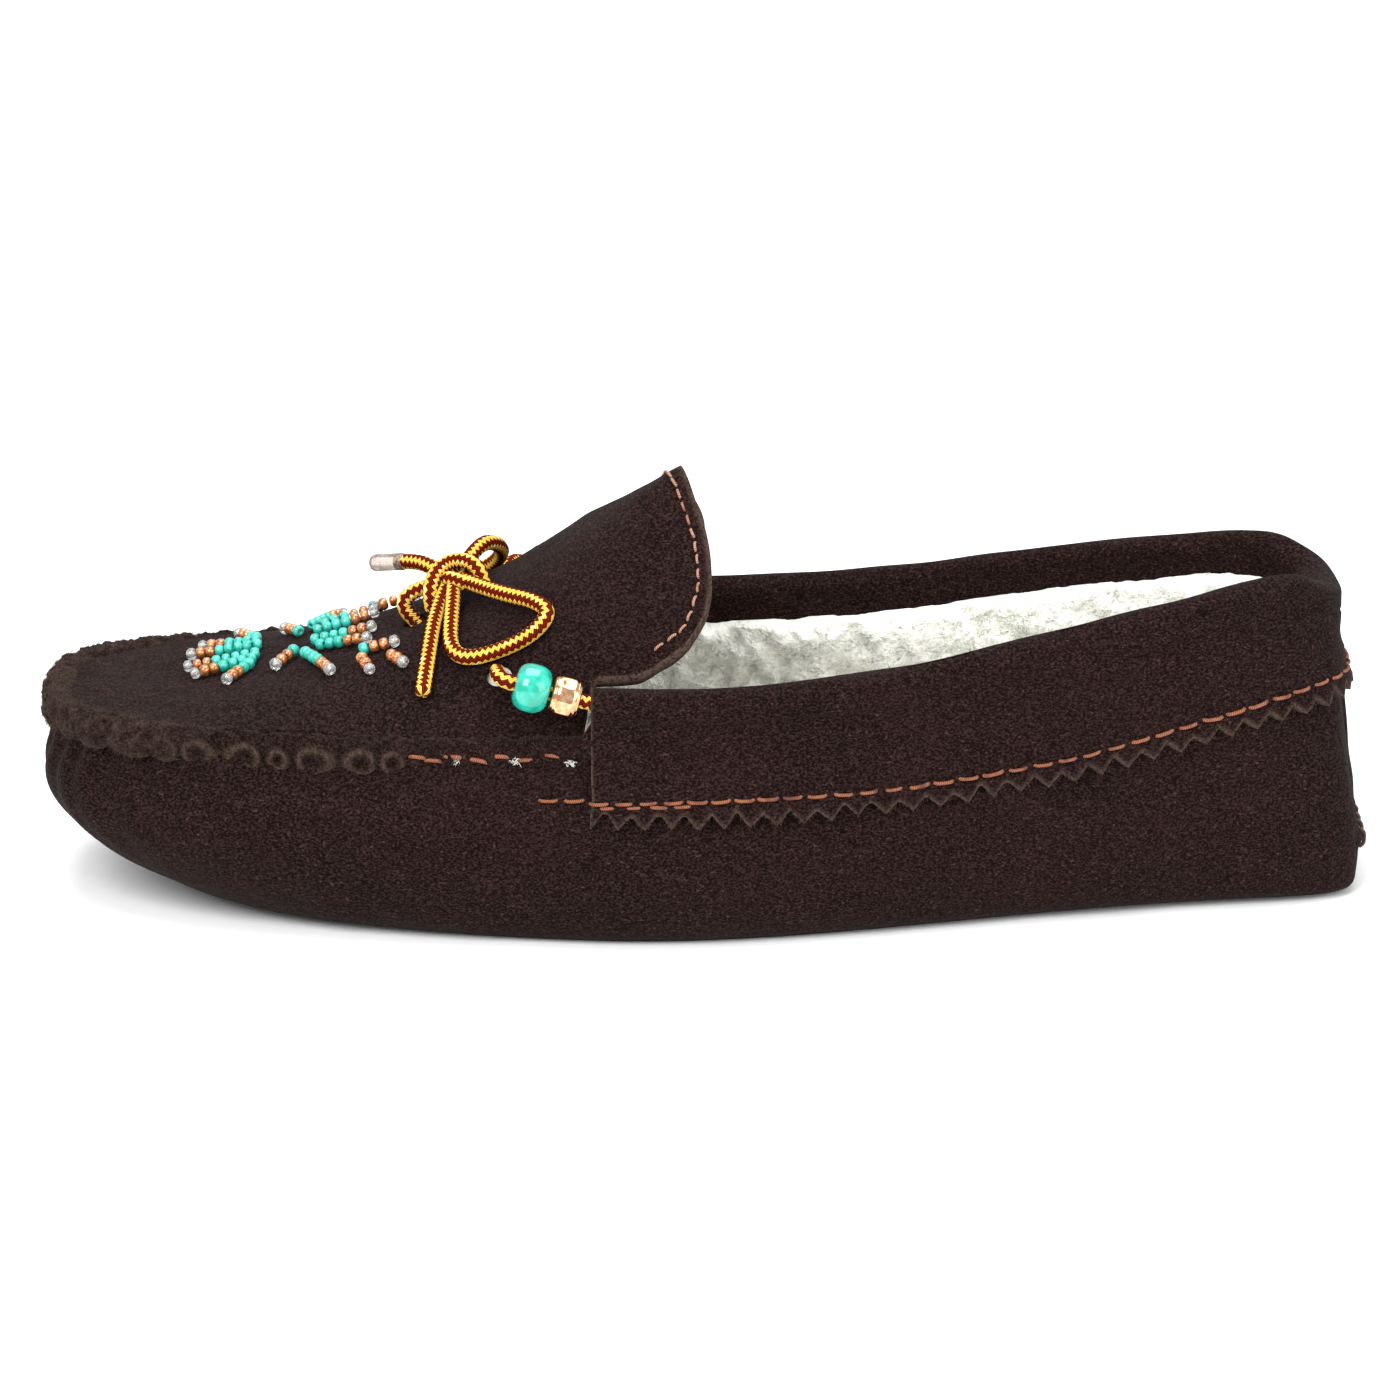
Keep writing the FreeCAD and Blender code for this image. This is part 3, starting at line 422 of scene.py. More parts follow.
def scatter(grid, count, seed, keep=None):
    """Random places on a grid of points, with outward unit normals there."""
    random = np.random.default_rng(seed)
    down, across = np.gradient(grid, axis=0), np.gradient(grid, axis=1)
    normal = np.cross(across, down)
    area = np.linalg.norm(normal, axis=-1)
    weight = area if keep is None else area * keep
    weight = weight / weight.sum()
    chosen = random.choice(weight.size, count, p=weight.ravel())
    shake = random.uniform(-0.5, 0.5, (count, 2, 1))
    places = grid.reshape(-1, 3)[chosen]
    places = places + shake[:, 0] * down.reshape(-1, 3)[chosen] + shake[:, 1] * across.reshape(-1, 3)[chosen]
    return places, normal.reshape(-1, 3)[chosen] / np.maximum(area.ravel()[chosen, None], 1e-9)


# %% [markdown]
# ## Materials
# Every pattern is procedural and is sized in real millimetres in object space. The suede is the flesh side
# of split leather: a matt nap of fine fibres, a little sheen where they catch the light, and a paler raw
# edge where it was cut. The pile is knitted wool-like fleece. The lace is a round polyester braid of two
# yarn colours, the beads are glass, plastic and plated metal.

# %% Material helpers
def linear(code):
    """An sRGB hex colour as linear RGBA."""
    values = [int(code[i:i + 2], 16) / 255 for i in (1, 3, 5)]
    return [v / 12.92 if v <= 0.04045 else ((v + 0.055) / 1.055) ** 2.4 for v in values] + [1.0]


def add_node(tree, kind, inputs=None, **settings):
    """One shader node; an input is a number, a colour or another node's output."""
    made = tree.nodes.new("ShaderNode" + kind)
    for key, value in settings.items():
        setattr(made, key, value)
    for key, value in (inputs or {}).items():
        if isinstance(value, bpy.types.NodeSocket):
            tree.links.new(value, made.inputs[key])
        else:
            made.inputs[key].default_value = value
    return made


def noise(tree, coordinates, size, detail=2.0, stretch=(1, 1, 1)):
    """Noise whose features are size millimetres across."""
    placed = add_node(tree, "Mapping", {"Vector": coordinates, "Scale": stretch})
    settings = {"Vector": placed.outputs[0], "Scale": 1.0 / (size * MM), "Detail": detail}
    return add_node(tree, "TexNoise", settings).outputs["Fac"]


def spread(tree, value, low, high):
    """Low to high spread over 0 to 1, with soft ends."""
    inputs = {"Value": value, "From Min": low, "From Max": high}
    return add_node(tree, "MapRange", inputs, interpolation_type="SMOOTHSTEP").outputs[0]


def mix(tree, share, first, second):
    """A colour between two."""
    return add_node(tree, "Mix", {0: share, 6: first, 7: second}, data_type="RGBA").outputs[2]


def calculate(tree, operation, first, second=0.0, third=0.0):
    """One sum on values."""
    return add_node(tree, "Math", {0: first, 1: second, 2: third}, operation=operation).outputs[0]


def finish_material(name, build, slot, **principled):
    """A Principled material; build(tree, object coordinates) returns (colour, roughness, height, depth in mm)."""
    material = bpy.data.materials.new(name)
    material.use_nodes = True
    tree = material.node_tree
    tree.nodes.clear()
    coordinates = add_node(tree, "TexCoord").outputs["Object"]
    colour, roughness, height, depth = build(tree, coordinates)
    bump = add_node(tree, "Bump", {"Height": height, "Distance": depth * MM, "Strength": 1.0})
    inputs = {"Base Color": colour, "Roughness": roughness, "Normal": bump.outputs[0]}
    inputs.update(principled)
    shader = add_node(tree, "BsdfPrincipled", inputs)
    add_node(tree, "OutputMaterial", {"Surface": shader.outputs[0]})
    material["slot"] = slot
    return material


# %% Suede, pile, thread and foam
def suede_look(dark, light, fleck, raw):
    """Napped split leather: broad brushed shades, fine fibres, pale flecks and paler cut edges."""
    def build(tree, coordinates):
        brushed = spread(tree, noise(tree, coordinates, 22.0, 6.0), 0.25, 0.75)
        mottled = spread(tree, noise(tree, coordinates, 2.6, 5.0), 0.30, 0.72)
        fibre = noise(tree, coordinates, 0.5, 3.0)
        flecks = spread(tree, noise(tree, coordinates, 0.42, 3.0, (0.6, 1.0, 1.0)), 0.58, 0.74)
        colour = mix(tree, brushed, linear(dark), linear(light))
        colour = mix(tree, calculate(tree, "MULTIPLY", mottled, 0.25), colour, linear(dark))
        nap = spread(tree, noise(tree, coordinates, 0.5, 3.0, (1.0, 0.6, 1.6)), 0.42, 0.62)
        colour = mix(tree, calculate(tree, "MULTIPLY", nap, 0.22), colour, linear(fleck))
        colour = mix(tree, calculate(tree, "MULTIPLY", flecks, 0.55), colour, linear(fleck))
        edge = add_node(tree, "Attribute", attribute_name="raw_edge").outputs["Fac"]
        edge = calculate(tree, "MULTIPLY", edge, spread(tree, fibre, 0.25, 0.6))
        colour = mix(tree, edge, colour, linear(raw))
        height = calculate(tree, "ADD", fibre, calculate(tree, "MULTIPLY", mottled, 0.7))
        return colour, 0.95, height, 0.16
    return build


SHEEN = {"Sheen Weight": 0.03, "Sheen Roughness": 0.5, "Specular IOR Level": 0.03}
suede = finish_material(
    "napped_split_suede", suede_look("#0b0505", "#130908", "#513b37", "#55453d"), "suede", **SHEEN)
suede_fuzz = finish_material(
    "loose_suede_fibres", suede_look("#33261f", "#4c3d33", "#77675a", "#6a5a4e"), "suede", **SHEEN)


def pile_look(tree, coordinates):
    """Creamy wool-like fleece: soft clumps, painted shade in greenish hollows, painted light on pale tips."""
    clump_and_shade = spread(tree, noise(tree, coordinates, 5.5, 3.0), 0.30, 0.62)
    strand = noise(tree, coordinates, 0.7, 4.0)
    # painted shade: greenish grey where the clumps' bump is low
    colour = mix(tree, clump_and_shade, linear("#e6e8da"), linear("#fbfaf0"))
    # painted light: near white where the strands' bump is high
    colour = mix(tree, spread(tree, strand, 0.35, 0.7), colour, linear("#fffefa"))
    height = calculate(tree, "ADD", strand, calculate(tree, "MULTIPLY", clump_and_shade, 1.4))
    return colour, 1.0, height, 0.6


pile = finish_material(
    "knitted_fleece_pile", pile_look, "pile",
    **{"Sheen Weight": 0.35, "Sheen Roughness": 0.6, "Specular IOR Level": 0.1})


def thread_look(dark, light):
    """Waxed thread twisted from two plies: a slanting UV-map ridge along its length, grooves in painted shade."""
    def build(tree, coordinates):
        uv = add_node(tree, "UVMap", uv_map="UVMap").outputs[0]
        parts = add_node(tree, "SeparateXYZ", {0: uv})
        slant = calculate(tree, "MULTIPLY_ADD", parts.outputs[1], 14.0, parts.outputs[0])
        ply = calculate(tree, "PINGPONG", calculate(tree, "MULTIPLY", slant, 2.0), 0.5)
        worn = noise(tree, coordinates, 3.0, 2.0)
        # painted shade: the thread is darker where the ply bump is low
        colour = mix(tree, spread(tree, ply, 0.05, 0.4), linear(dark), linear(light))
        colour = mix(tree, spread(tree, worn, 0.45, 0.7), colour, linear(dark))
        return colour, 0.6, ply, 0.25
    return build


thread = finish_material("copper_waxed_thread", thread_look("#5a2e1c", "#a5623f"), "thread")
tongue_thread = finish_material("pale_copper_thread", thread_look("#7d5240", "#c09276"), "thread")
dark_thread = finish_material("brown_waxed_thread", thread_look("#2a1c16", "#5d4a3e"), "dark_thread")


def foam_look(tree, coordinates):
    """Open-cell foam: fine pores painted darker as shade in their pits, and a yellowed tone."""
    pores = add_node(tree, "TexVoronoi", {"Vector": coordinates, "Scale": 1.0 / (0.9 * MM)}).outputs[0]
    # painted shade: darker where the pore bump is low
    colour = mix(tree, spread(tree, pores, 0.1, 0.6), linear("#8f8974"), linear("#cfc8ae"))
    return colour, 0.95, pores, 0.2


foam = finish_material("open_cell_foam", foam_look, "foam")


# %% Lace braid
def lace_look(tree, coordinates):
    """Round braid: four yellow, four brown stripes along it, their edges stepped by the plaits; yarn grooves in
    painted shade.
    """
    uv = add_node(tree, "UVMap", uv_map="UVMap").outputs[0]
    parts = add_node(tree, "SeparateXYZ", {0: uv})
    around, along = parts.outputs[0], parts.outputs[1]
    tooth = calculate(tree, "PINGPONG", calculate(tree, "MULTIPLY", along, 10.0 / 1.15), 0.5)
    shifted = calculate(tree, "MULTIPLY_ADD", tooth, 0.62, calculate(tree, "MULTIPLY", around, 4.0))
    stripe = calculate(tree, "PINGPONG", shifted, 0.5)
    yellow = spread(tree, stripe, 0.280, 0.310)
    ply = calculate(tree, "MULTIPLY_ADD", along, 10.0 / 0.55, calculate(tree, "MULTIPLY", around, 16.0))
    yarn = calculate(tree, "PINGPONG", ply, 0.5)
    worn = noise(tree, coordinates, 1.6, 3.0)
    # painted shade: brown and gold both darken where the yarn bump is low
    brown = mix(tree, spread(tree, yarn, 0.0, 0.45), linear("#300600"), linear("#701c06"))
    gold = mix(tree, spread(tree, yarn, 0.0, 0.4), linear("#b8791f"), linear("#f3cf5c"))
    gold = mix(tree, spread(tree, worn, 0.55, 0.75), gold, linear("#fbe9a8"))
    colour = mix(tree, yellow, brown, gold)
    return colour, 0.8, yarn, 0.12


lace_braid = finish_material("two_tone_round_braid", lace_look, "lace", **{"Specular IOR Level": 0.05})


# %% Beads and aglet
def glaze_look(deep, bright, rough, spot=1.1):
    """Moulded glass or plastic: a slightly uneven body colour under a smooth skin."""
    def build(tree, coordinates):
        swirl = noise(tree, coordinates, spot, 3.0)
        colour = mix(tree, spread(tree, swirl, 0.35, 0.7), linear(deep), linear(bright))
        return colour, rough, swirl, 0.02
    return build


turquoise = finish_material(
    "turquoise_moulded_bead", glaze_look("#0f9a84", "#2cc0a6", 0.14, 2.4), "turquoise",
    **{"Coat Weight": 0.6, "Coat Roughness": 0.05})
turquoise_seed = finish_material(
    "turquoise_glass_seed", glaze_look("#15a08e", "#45c9b6", 0.2, 1.2), "turquoise", **{"Coat Weight": 0.5})
copper_seed = finish_material(
    "copper_lined_seed", glaze_look("#a85a26", "#e89c62", 0.16, 0.8), "copper_glass",
    **{"Metallic": 0.55, "Coat Weight": 1.0, "Coat Roughness": 0.04})
clear_seed = finish_material(
    "clear_glass_seed", glaze_look("#d8dcda", "#ffffff", 0.04, 1.0), "clear_glass",
    **{"Transmission Weight": 0.8, "IOR": 1.5})
plated = finish_material(
    "copper_plated_metal", glaze_look("#d79a6d", "#f4c9a2", 0.13, 0.9), "copper_metal", **{"Metallic": 1.0})
aglet_film = finish_material(
    "clear_heat_set_sleeve", glaze_look("#bfaea2", "#e8ddd6", 0.12, 1.5), "aglet",
    **{"Transmission Weight": 0.8, "IOR": 1.45})
print(len(bpy.data.materials), "materials")

# %% [markdown]
# ## Camera, light and floor
# The shoe is seen from its outer side, a little above, through a long lens that keeps it nearly free of
# perspective. Broad soft lights on a pale floor, because the nap shows best under a large source.

# %% Camera, lights and floor
ELEVATION, DISTANCE, TARGET, VIEW_WIDTH = math.radians(18.5), 1.05, (-0.0005, 0.0, 0.0329), 0.266
camera_data = bpy.data.cameras.new("camera")
camera_data.sensor_width = 36.0
camera_data.lens = 36.0 * DISTANCE / VIEW_WIDTH
camera_data.clip_start = 0.05
camera = bpy.data.objects.new("camera", camera_data)
bpy.context.scene.collection.objects.link(camera)
camera.location = (TARGET[0], -DISTANCE * math.cos(ELEVATION), TARGET[2] + DISTANCE * math.sin(ELEVATION))
camera.rotation_euler = (math.pi / 2 - ELEVATION, 0.0, 0.0)
bpy.context.scene.camera = camera


def softbox(name, place, size, power):
    """A square area light aimed at the shoe."""
    data = bpy.data.lights.new(name, "AREA")
    data.size = size
    data.energy = power
    light = bpy.data.objects.new(name, data)
    bpy.context.scene.collection.objects.link(light)
    light.location = place
    light.rotation_euler = (Vector((0, 0, 0.03)) - Vector(place)).to_track_quat("-Z", "Y").to_euler()


softbox("key", (-0.5, -0.8, 0.9), 0.7, 13.0)
softbox("fill", (0.7, -0.7, 0.45), 0.8, 6.0)
softbox("top", (0.0, 0.15, 1.0), 0.8, 9.0)
world = bpy.data.worlds.new("studio")
world.use_nodes = True
world.node_tree.nodes["Background"].inputs[0].default_value = (1.0, 1.0, 1.0, 1.0)
world.node_tree.nodes["Background"].inputs[1].default_value = 0.75
bpy.context.scene.world = world
bpy.context.scene.view_settings.view_transform = "Standard"


def floor_look(tree, coordinates):
    """Pale matt paper."""
    grain = noise(tree, coordinates, 3.0, 2.0)
    return mix(tree, grain, linear("#f4f4f4"), linear("#fbfbfb")), 0.9, grain, 0.02


reach = 3.0
corners = np.array([(-reach, -reach, 0), (reach, -reach, 0), (reach, reach, 0), (-reach, reach, 0)]) / MM
paper = finish_material("pale_paper", floor_look, "pile")
floor = make_object("floor", corners, [[0, 1, 2, 3]], paper, None, merge=False)

# %% [markdown]
# ## Suede wrap
# One sheet runs under the foot and up both sides. It is built as the skin itself, outside and inside, from
# the middle line of the sole over the turned-up edge to the seam. Below the seam the leather is drawn into
# pleats, so the wall carries grooves that die out downwards; they are deepest round the toe, where the most
# leather has to be taken up. The heel carries its upright seam and the cross seam of the heel tab.

# %% Suede wrap
PLEAT = 7.2


def seam_distance(angle):
    """How far along the seam a place lies from the middle of the toe, whichever side it is on."""
    fine = np.linspace(0, math.pi, 6001)
    fine = np.where(fine < 0.5, fine ** 2 / 0.5, fine)
    travelled = arc_length(skin(fine, SEAM_HEIGHT))
    folded = np.minimum(angle, 2 * math.pi - angle)
    found = np.interp(folded, fine, travelled)
    return found + 1.1 * np.sin(found * 0.31) * smooth(found / 12.0)


def wall_top(angle):
    """Height of the wrap's upper edge: the apron seam in front, under the cuff's fold behind."""
    x = skin(angle, 38.0)[..., 0]
    behind = smooth((x - CUFF_FRONT + 2.8) / 3.0)
    return curve(SEAM, x) * (1 - behind) + (curve(CUFF_TOP, x) - 5.0) * behind


def gathered(x):
    """How strongly the seam is gathered: full at the toe and the front of the sides, none by the cuff."""
    return smooth((-50.0 - x) / 8.0)


angles = even_angles(880, 0, 2 * math.pi)
top = wall_top(angles)
rise = np.linspace(0, 1, 58) ** 1.12
heights = rise[:, None] * top[None, :]
outer = skin(angles[None, :], heights)
outward = level_normal(outer)
depth = top[None, :] - heights
distance = seam_distance(angles)[None, :]
at_toe = smooth((-88.0 - outer[..., 0]) / 22.0)
valley = (0.5 + 0.5 * np.cos(2 * math.pi * distance / PLEAT)) ** 1.4
pleats = -(1.0 + 1.5 * at_toe) * gathered(outer[..., 0]) * valley * np.exp(-depth / (3.4 + 5.0 * at_toe))
hollow = -0.9 * gathered(outer[..., 0]) * np.exp(-((depth - 6.0) / 3.0) ** 2)
soft = 0.38 * waves(outer, 34.0, 3) + 0.16 * waves(outer, 13.0, 4)
soft = soft * smooth(heights / 6.0)
at_heel = smooth((outer[..., 0] - 108.0) / 8.0)
y, z = outer[..., 1], outer[..., 2]
upright = 1.15 * np.exp(-(y / 1.2) ** 2) * smooth((z - 9.5) / 1.5) - 0.35 * np.exp(-((np.abs(y) - 3.0) / 1.2) ** 2)
across = 1.0 * np.exp(-((z - 10.2) / 1.3) ** 2) * smooth((17.0 - np.abs(y)) / 3.0)
heel_seams = at_heel * (upright * smooth((z - 8.0) / 3.0) + across)
outer = outer + outward * (pleats + hollow + soft + heel_seams)[..., None]
inner = skin(angles[None, :], heights[::3], SUEDE)
inner = inner + level_normal(inner) * (0.6 * (pleats + hollow) + soft)[::3][..., None]


def sole_rows(edge, shares):
    """Rows from an edge to the shoe's middle line, level with the edge."""
    centre = edge.copy()
    centre[:, 1] = bend(edge[:, 0])
    return centre[None] + (edge - centre)[None] * np.asarray(shares)[:, None, None]


shares = np.linspace(0, 1, 7)[:-1]
grid = np.concatenate([sole_rows(outer[0], shares), outer, inner[::-1], sole_rows(inner[0], shares[::-1])])
edge_rows = 6 + np.flatnonzero(rise > 0.985)
raw = np.zeros(grid.shape[:2])
raw[edge_rows] = 1.0
wrap = grid_piece("suede_wrap_sheet", grid, suede, "shoe", raw)
declare(wrap, "suede", "suede_wrap")
print("suede wrap:", len(wrap.data.polygons), "faces")

# %% [markdown]
# ## Gathers along the apron seam
# The wrap's cut edge is turned outwards over the seam and whipped down, so each pleat ends in a small open
# ear with a pale furry rim and a dark hollow. A closed section runs round the seam and swells at each
# pleat; a dent pressed into each swelling's outer face is the ear's hollow. Towards the cuff the gathering
# stops and the edge lies flat under coarse stitches.

# %% Gathers
SECTION = (
    (-3.4, -0.6), (-3.1, 1.0), (-1.6, 2.1), (0.2, 2.3), (1.7, 1.5), (2.5, 0.2), (2.8, -1.4),
    (2.7, -3.0), (2.2, -4.4), (1.5, -4.9), (0.8, -4.2), (0.3, -2.8), (-0.8, -1.8), (-2.4, -1.6),
)


def closed_profile(points, count):
    """A closed smooth profile through points, resampled to count + 1 places."""
    ring = np.array(points + points[:3], float)
    marks = np.arange(len(ring), dtype=float)
    wanted = 1 + np.arange(count + 1) * len(points) / count
    return np.stack([curve(list(zip(marks, ring[:, k])), wanted) for k in range(2)], axis=-1)


profile = closed_profile(SECTION, 40)
front = front_angle()
seam_angles = even_angles(1700, 2 * math.pi - front - 0.02, 2 * math.pi, SEAM_HEIGHT)
seam_angles = np.concatenate([seam_angles, even_angles(1700, 0.0, front + 0.02, SEAM_HEIGHT)[1:]])
seam_x = skin(seam_angles, SEAM_HEIGHT)
seam_line = np.stack([seam_x[:, 0], seam_x[:, 1], curve(SEAM, seam_x[:, 0])], axis=-1)
seam_out = level_normal(seam_line[:, None, :], axis=0)[:, 0]
phase = seam_distance(seam_angles) / PLEAT
swell = np.abs(np.sin(math.pi * phase)) ** 0.75
strength = gathered(seam_line[:, 0])
on_side = smooth((seam_line[:, 0] + 104.0) / 14.0)
swell = swell * (0.42 + 0.20 * on_side) + 0.58 - 0.20 * on_side
strong = strength * swell + (1 - strength) * (0.42 + 0.08 * np.sin(2 * math.pi * phase * 0.8))
uneven = 1 + 0.14 * waves(seam_line, 11.0, 8)
out = profile[None, :, 0] * np.where(profile[None, :, 0] > 0, (0.34 + 0.58 * strong * uneven)[:, None], 1.0)
down = profile[None, :, 1] * np.where(
    profile[None, :, 1] < 0, (0.50 + 0.42 * strong * uneven)[:, None], (0.60 + 0.36 * strong)[:, None])
from_centre = (phase - np.floor(phase) - 0.5)[:, None] * PLEAT
ear = np.hypot(from_centre * 0.92, down + 2.3) * (1 + 0.16 * waves(seam_line, 9.0, 15))[:, None]
outer_face = smooth((out - 0.9) / 0.8)
ears = strength * smooth((seam_line[:, 0] + 104.0) / 14.0)
out = out - 1.5 * ears[:, None] * outer_face * np.exp(-(ear / 1.25) ** 2)
roll_grid = seam_line[:, None, :] + seam_out[:, None, :] * out[..., None]
roll_grid = roll_grid + np.array([0.0, 0.0, 1.0]) * down[..., None]
rough = 0.30 * waves(roll_grid, 3.4, 11) + 0.20 * waves(roll_grid, 1.6, 12)
roll_grid = roll_grid + seam_out[:, None, :] * rough[..., None] + np.array([0, 0, 0.7]) * rough[..., None]
rim_mark = np.exp(-((ear - 2.2) / 0.55) ** 2) * outer_face * ears[:, None]
lip_mark = smooth((-3.2 - down) / 1.2) * 0.8 * strength[:, None]
toe_mark = 0.35 * (strength * (1 - ears))[:, None] * (0.5 + 0.5 * waves(roll_grid, 3.0, 14))
mark = np.clip(np.maximum(np.maximum(0.75 * rim_mark, 0.7 * lip_mark), toe_mark), 0, 1)
roll_grid = np.concatenate([
    np.broadcast_to(roll_grid[:1].mean(axis=1, keepdims=True), roll_grid[:1].shape), roll_grid,
    np.broadcast_to(roll_grid[-1:].mean(axis=1, keepdims=True), roll_grid[-1:].shape)])
mark = np.concatenate([mark[:1], mark, mark[-1:]])
gathers = grid_piece("seam_gathers", roll_grid[::2], suede, "shoe", mark[::2])
declare(gathers, "suede")
roots, normals = scatter(roll_grid, 9000, 31, 0.12 + mark)
fuzz = fibres("gather_fuzz", roots, normals, suede_fuzz, "shoe", 1.0, 0.09, 32, 0.9)
declare(fuzz, "suede")
print("gathers:", len(gathers.data.polygons), "faces")

# %% [markdown]
# ## Apron and tongue
# One crowned piece of suede covers the top of the foot and ends in the free tongue. Its grid runs from the
# toe to the tongue's free edge in lines that share a place across the shoe, so the edge can be rounded at
# the corners and drawn back at the tip.
# Four holes are punched in it for the lace.

# %% Apron and tongue
# place across the shoe, x of the free edge there
FREE_EDGE = (
    (-1.0, -2.5), (-0.985, -0.9), (-0.955, 0.7), (-0.84, 1.7), (-0.55, 0.8), (-0.264, -1.8), (0.0, -4.0),
    (0.264, -4.6), (0.55, -1.3), (0.84, 0.4), (0.955, -0.1), (0.985, -1.6), (1.0, -3.0),
)
TONGUE_SIDE = ((-30.0, 30.6), (-22.3, 30.1), (-18.0, 29.8), (-12.0, 29.0), (-7.0, 28.0), (-2.5, 26.8), (2.0, 24.8))
SIDE_HOLE = (-37.6, 27.2)
CENTRE_HOLES = ((-54.0, -3.5), (-50.0, 4.5))


def half_width(x, inset):
    """Half width of the apron inside the seam, running into the tongue's narrower side at the fold."""
    toe, heel, *widths = level_at(SEAM_HEIGHT, inset)
    share = np.clip((x - toe) / (heel - toe), 0.0, 1.0)
    inside = half_at(x, share, 2 * np.sqrt(share * (1 - share)), widths, inset)
    behind = smooth((x + 22.6) / 2.6)
    return inside * (1 - behind) + (curve(TONGUE_SIDE, x) - max(inset - 1.9, 0.0)) * behind, toe


def crowned_grid(rows, columns, inset, edge_margin):
    """(x, y) of a grid from the toe to the free edge, set in from both by a margin."""
    across = np.sin(np.linspace(-1, 1, columns) * math.pi / 2)
    across = 0.5 * across + 0.5 * np.linspace(-1, 1, columns)
    toe = half_width(np.zeros(1), inset)[1]
    end = curve(FREE_EDGE, across) - edge_margin
    forward = np.linspace(0, 1, rows)
    forward = np.where(forward < 0.2, forward ** 2 / 0.2 * 0.5 + forward * 0.5, forward)[:, None]
    x = toe + (end[None, :] - toe) * forward
    width = half_width(x, inset)[0]
    return x, across[None, :] * width + bend(x)


def crowned_point(x, y, lower=0.0):
    """Upper face of the sheet, or a face lower under it, with the leather's gentle unevenness."""
    base = np.stack([x, y, apron_height(x, y) - lower], axis=-1)
    lift = 0.28 * waves(base, 26.0, 51) + 0.12 * waves(base, 9.0, 52)
    curl = 0.9 * smooth((x + 9.0) / 9.0) * smooth((np.abs(y) - 17.0) / 8.0)
    base[..., 2] = base[..., 2] + lift
    base[..., 1] = base[..., 1] + np.sign(y) * curl
    return base


x, y = crowned_grid(230, 150, 1.4, 0.0)
upper, lower = crowned_point(x, y), crowned_point(x, y, APRON_THICKNESS)
edge_share = np.linspace(0, 1, 230)[:, None] * np.ones((1, 150))
side_share = np.abs(np.linspace(-1, 1, 150))[None, :] * np.ones((230, 1))
raw = np.maximum(smooth((edge_share - 0.990) / 0.01), smooth((side_share - 0.985) / 0.015) * (x > FOLD_X))
apron = two_sided("apron_and_tongue", upper, lower, suede, None, 0.75 * raw)


def punch(piece, places, radius):
    """Round holes cut through a piece at (centre, direction) places."""
    angle = np.linspace(0, 2 * math.pi, 29)
    for centre, direction in places:
        direction = unit(np.array(direction))
        side = unit(np.cross(direction, [1.0, 0.0, 0.0]))
        ring = np.cos(angle)[:, None] * side + np.sin(angle)[:, None] * np.cross(direction, side)
        stations = ((-9, 0), (-9, radius), (9, radius), (9, 0))
        rows = [centre + along * direction + ring * reach for along, reach in stations]
        cutter = grid_piece("cutter", np.array(rows), suede, None)
        change = piece.modifiers.new("hole", "BOOLEAN")
        change.operation = "DIFFERENCE"
        change.solver = "EXACT"
        change.object = cutter
        bpy.context.view_layer.update()
        done = bpy.data.meshes.new_from_object(piece.evaluated_get(bpy.context.evaluated_depsgraph_get()))
        piece.modifiers.clear()
        old, name = piece.data, piece.data.name
        piece.data = done
        bpy.data.meshes.remove(old)
        done.name = name
        bpy.data.objects.remove(cutter)


hole_places = [(on_apron(SIDE_HOLE[0], side * SIDE_HOLE[1])[0], (0.0, side * 0.8, 1.0)) for side in (-1, 1)]
hole_places += [(on_apron(*place)[0], (0.0, 0.0, 1.0)) for place in CENTRE_HOLES]
punch(apron, hole_places, 2.4)
apron.data.polygons.foreach_set("use_smooth", [True] * len(apron.data.polygons))
bend_with_tongue(apron)
declare(apron, "suede", "apron", "tongue")

x, y = crowned_grid(120, 90, 6.4, 2.4)
lining_top = crowned_point(x, y, APRON_THICKNESS + 0.3)
lining_under = crowned_point(x, y, APRON_THICKNESS + 4.8)
lining_under[..., 2] += 0.8 * waves(lining_under, 6.0, 61) + 0.5 * waves(lining_under, 2.8, 62)
apron_pile = two_sided("apron_and_tongue_lining", lining_top, lining_under, pile, None)
bend_with_tongue(apron_pile)
declare(apron_pile, "pile", "apron_pile", "tongue_pile")
roots, normals = scatter(lining_under, 5000, 63, (x > -40.0) * 1.0 + 0.05)
apron_wool = fibres("apron_lining_wool", roots, -np.abs(normals), pile, None, 2.6, 0.22, 64, 0.8)
bend_with_tongue(apron_wool)
declare(apron_wool, "pile")

# %% [markdown]
# ## Pinked cuff
# A strip of suede is folded over the rim: a long flap outside with a pinked lower edge, a soft round fold
# on top and a short flap inside that holds the pile down. Its section is carried round the rim from one cut
# end to the other; the teeth are a triangle wave in the height of the lower edge.

# %% Pinked cuff
TOOTH, TOOTH_DEPTH = 5.0, 2.4
FLAP_ROWS, FOLD_ROWS, INNER_ROWS = 34, 18, 10
RIM_LEVEL, FLAP_OUTSET = 34.0, -1.8
columns_per_tooth = 9
start = front_angle(CUFF_FRONT, 40.0)
rim_length = arc_length(skin(np.linspace(start, 2 * math.pi - start, 20001), RIM_LEVEL, FLAP_OUTSET))[-1]
teeth = int(rim_length / TOOTH)
rim_angles = even_angles(teeth * columns_per_tooth + 1, start, 2 * math.pi - start, RIM_LEVEL, FLAP_OUTSET)


def rim_point(angle, height, inset):
    """A skin point whose line stays upright near the cuff's cut ends, where it is trimmed square."""
    base = skin(angle, 40.0)
    point = skin(angle, height, inset)
    upright = 1 - smooth((base[..., 0] + 5.0) / 30.0)
    shift = (base[..., 0] - point[..., 0]) * upright
    moved = angle + np.where(angle < math.pi, 1.0, -1.0) * shift / 118.0
    return skin(moved, height, inset)


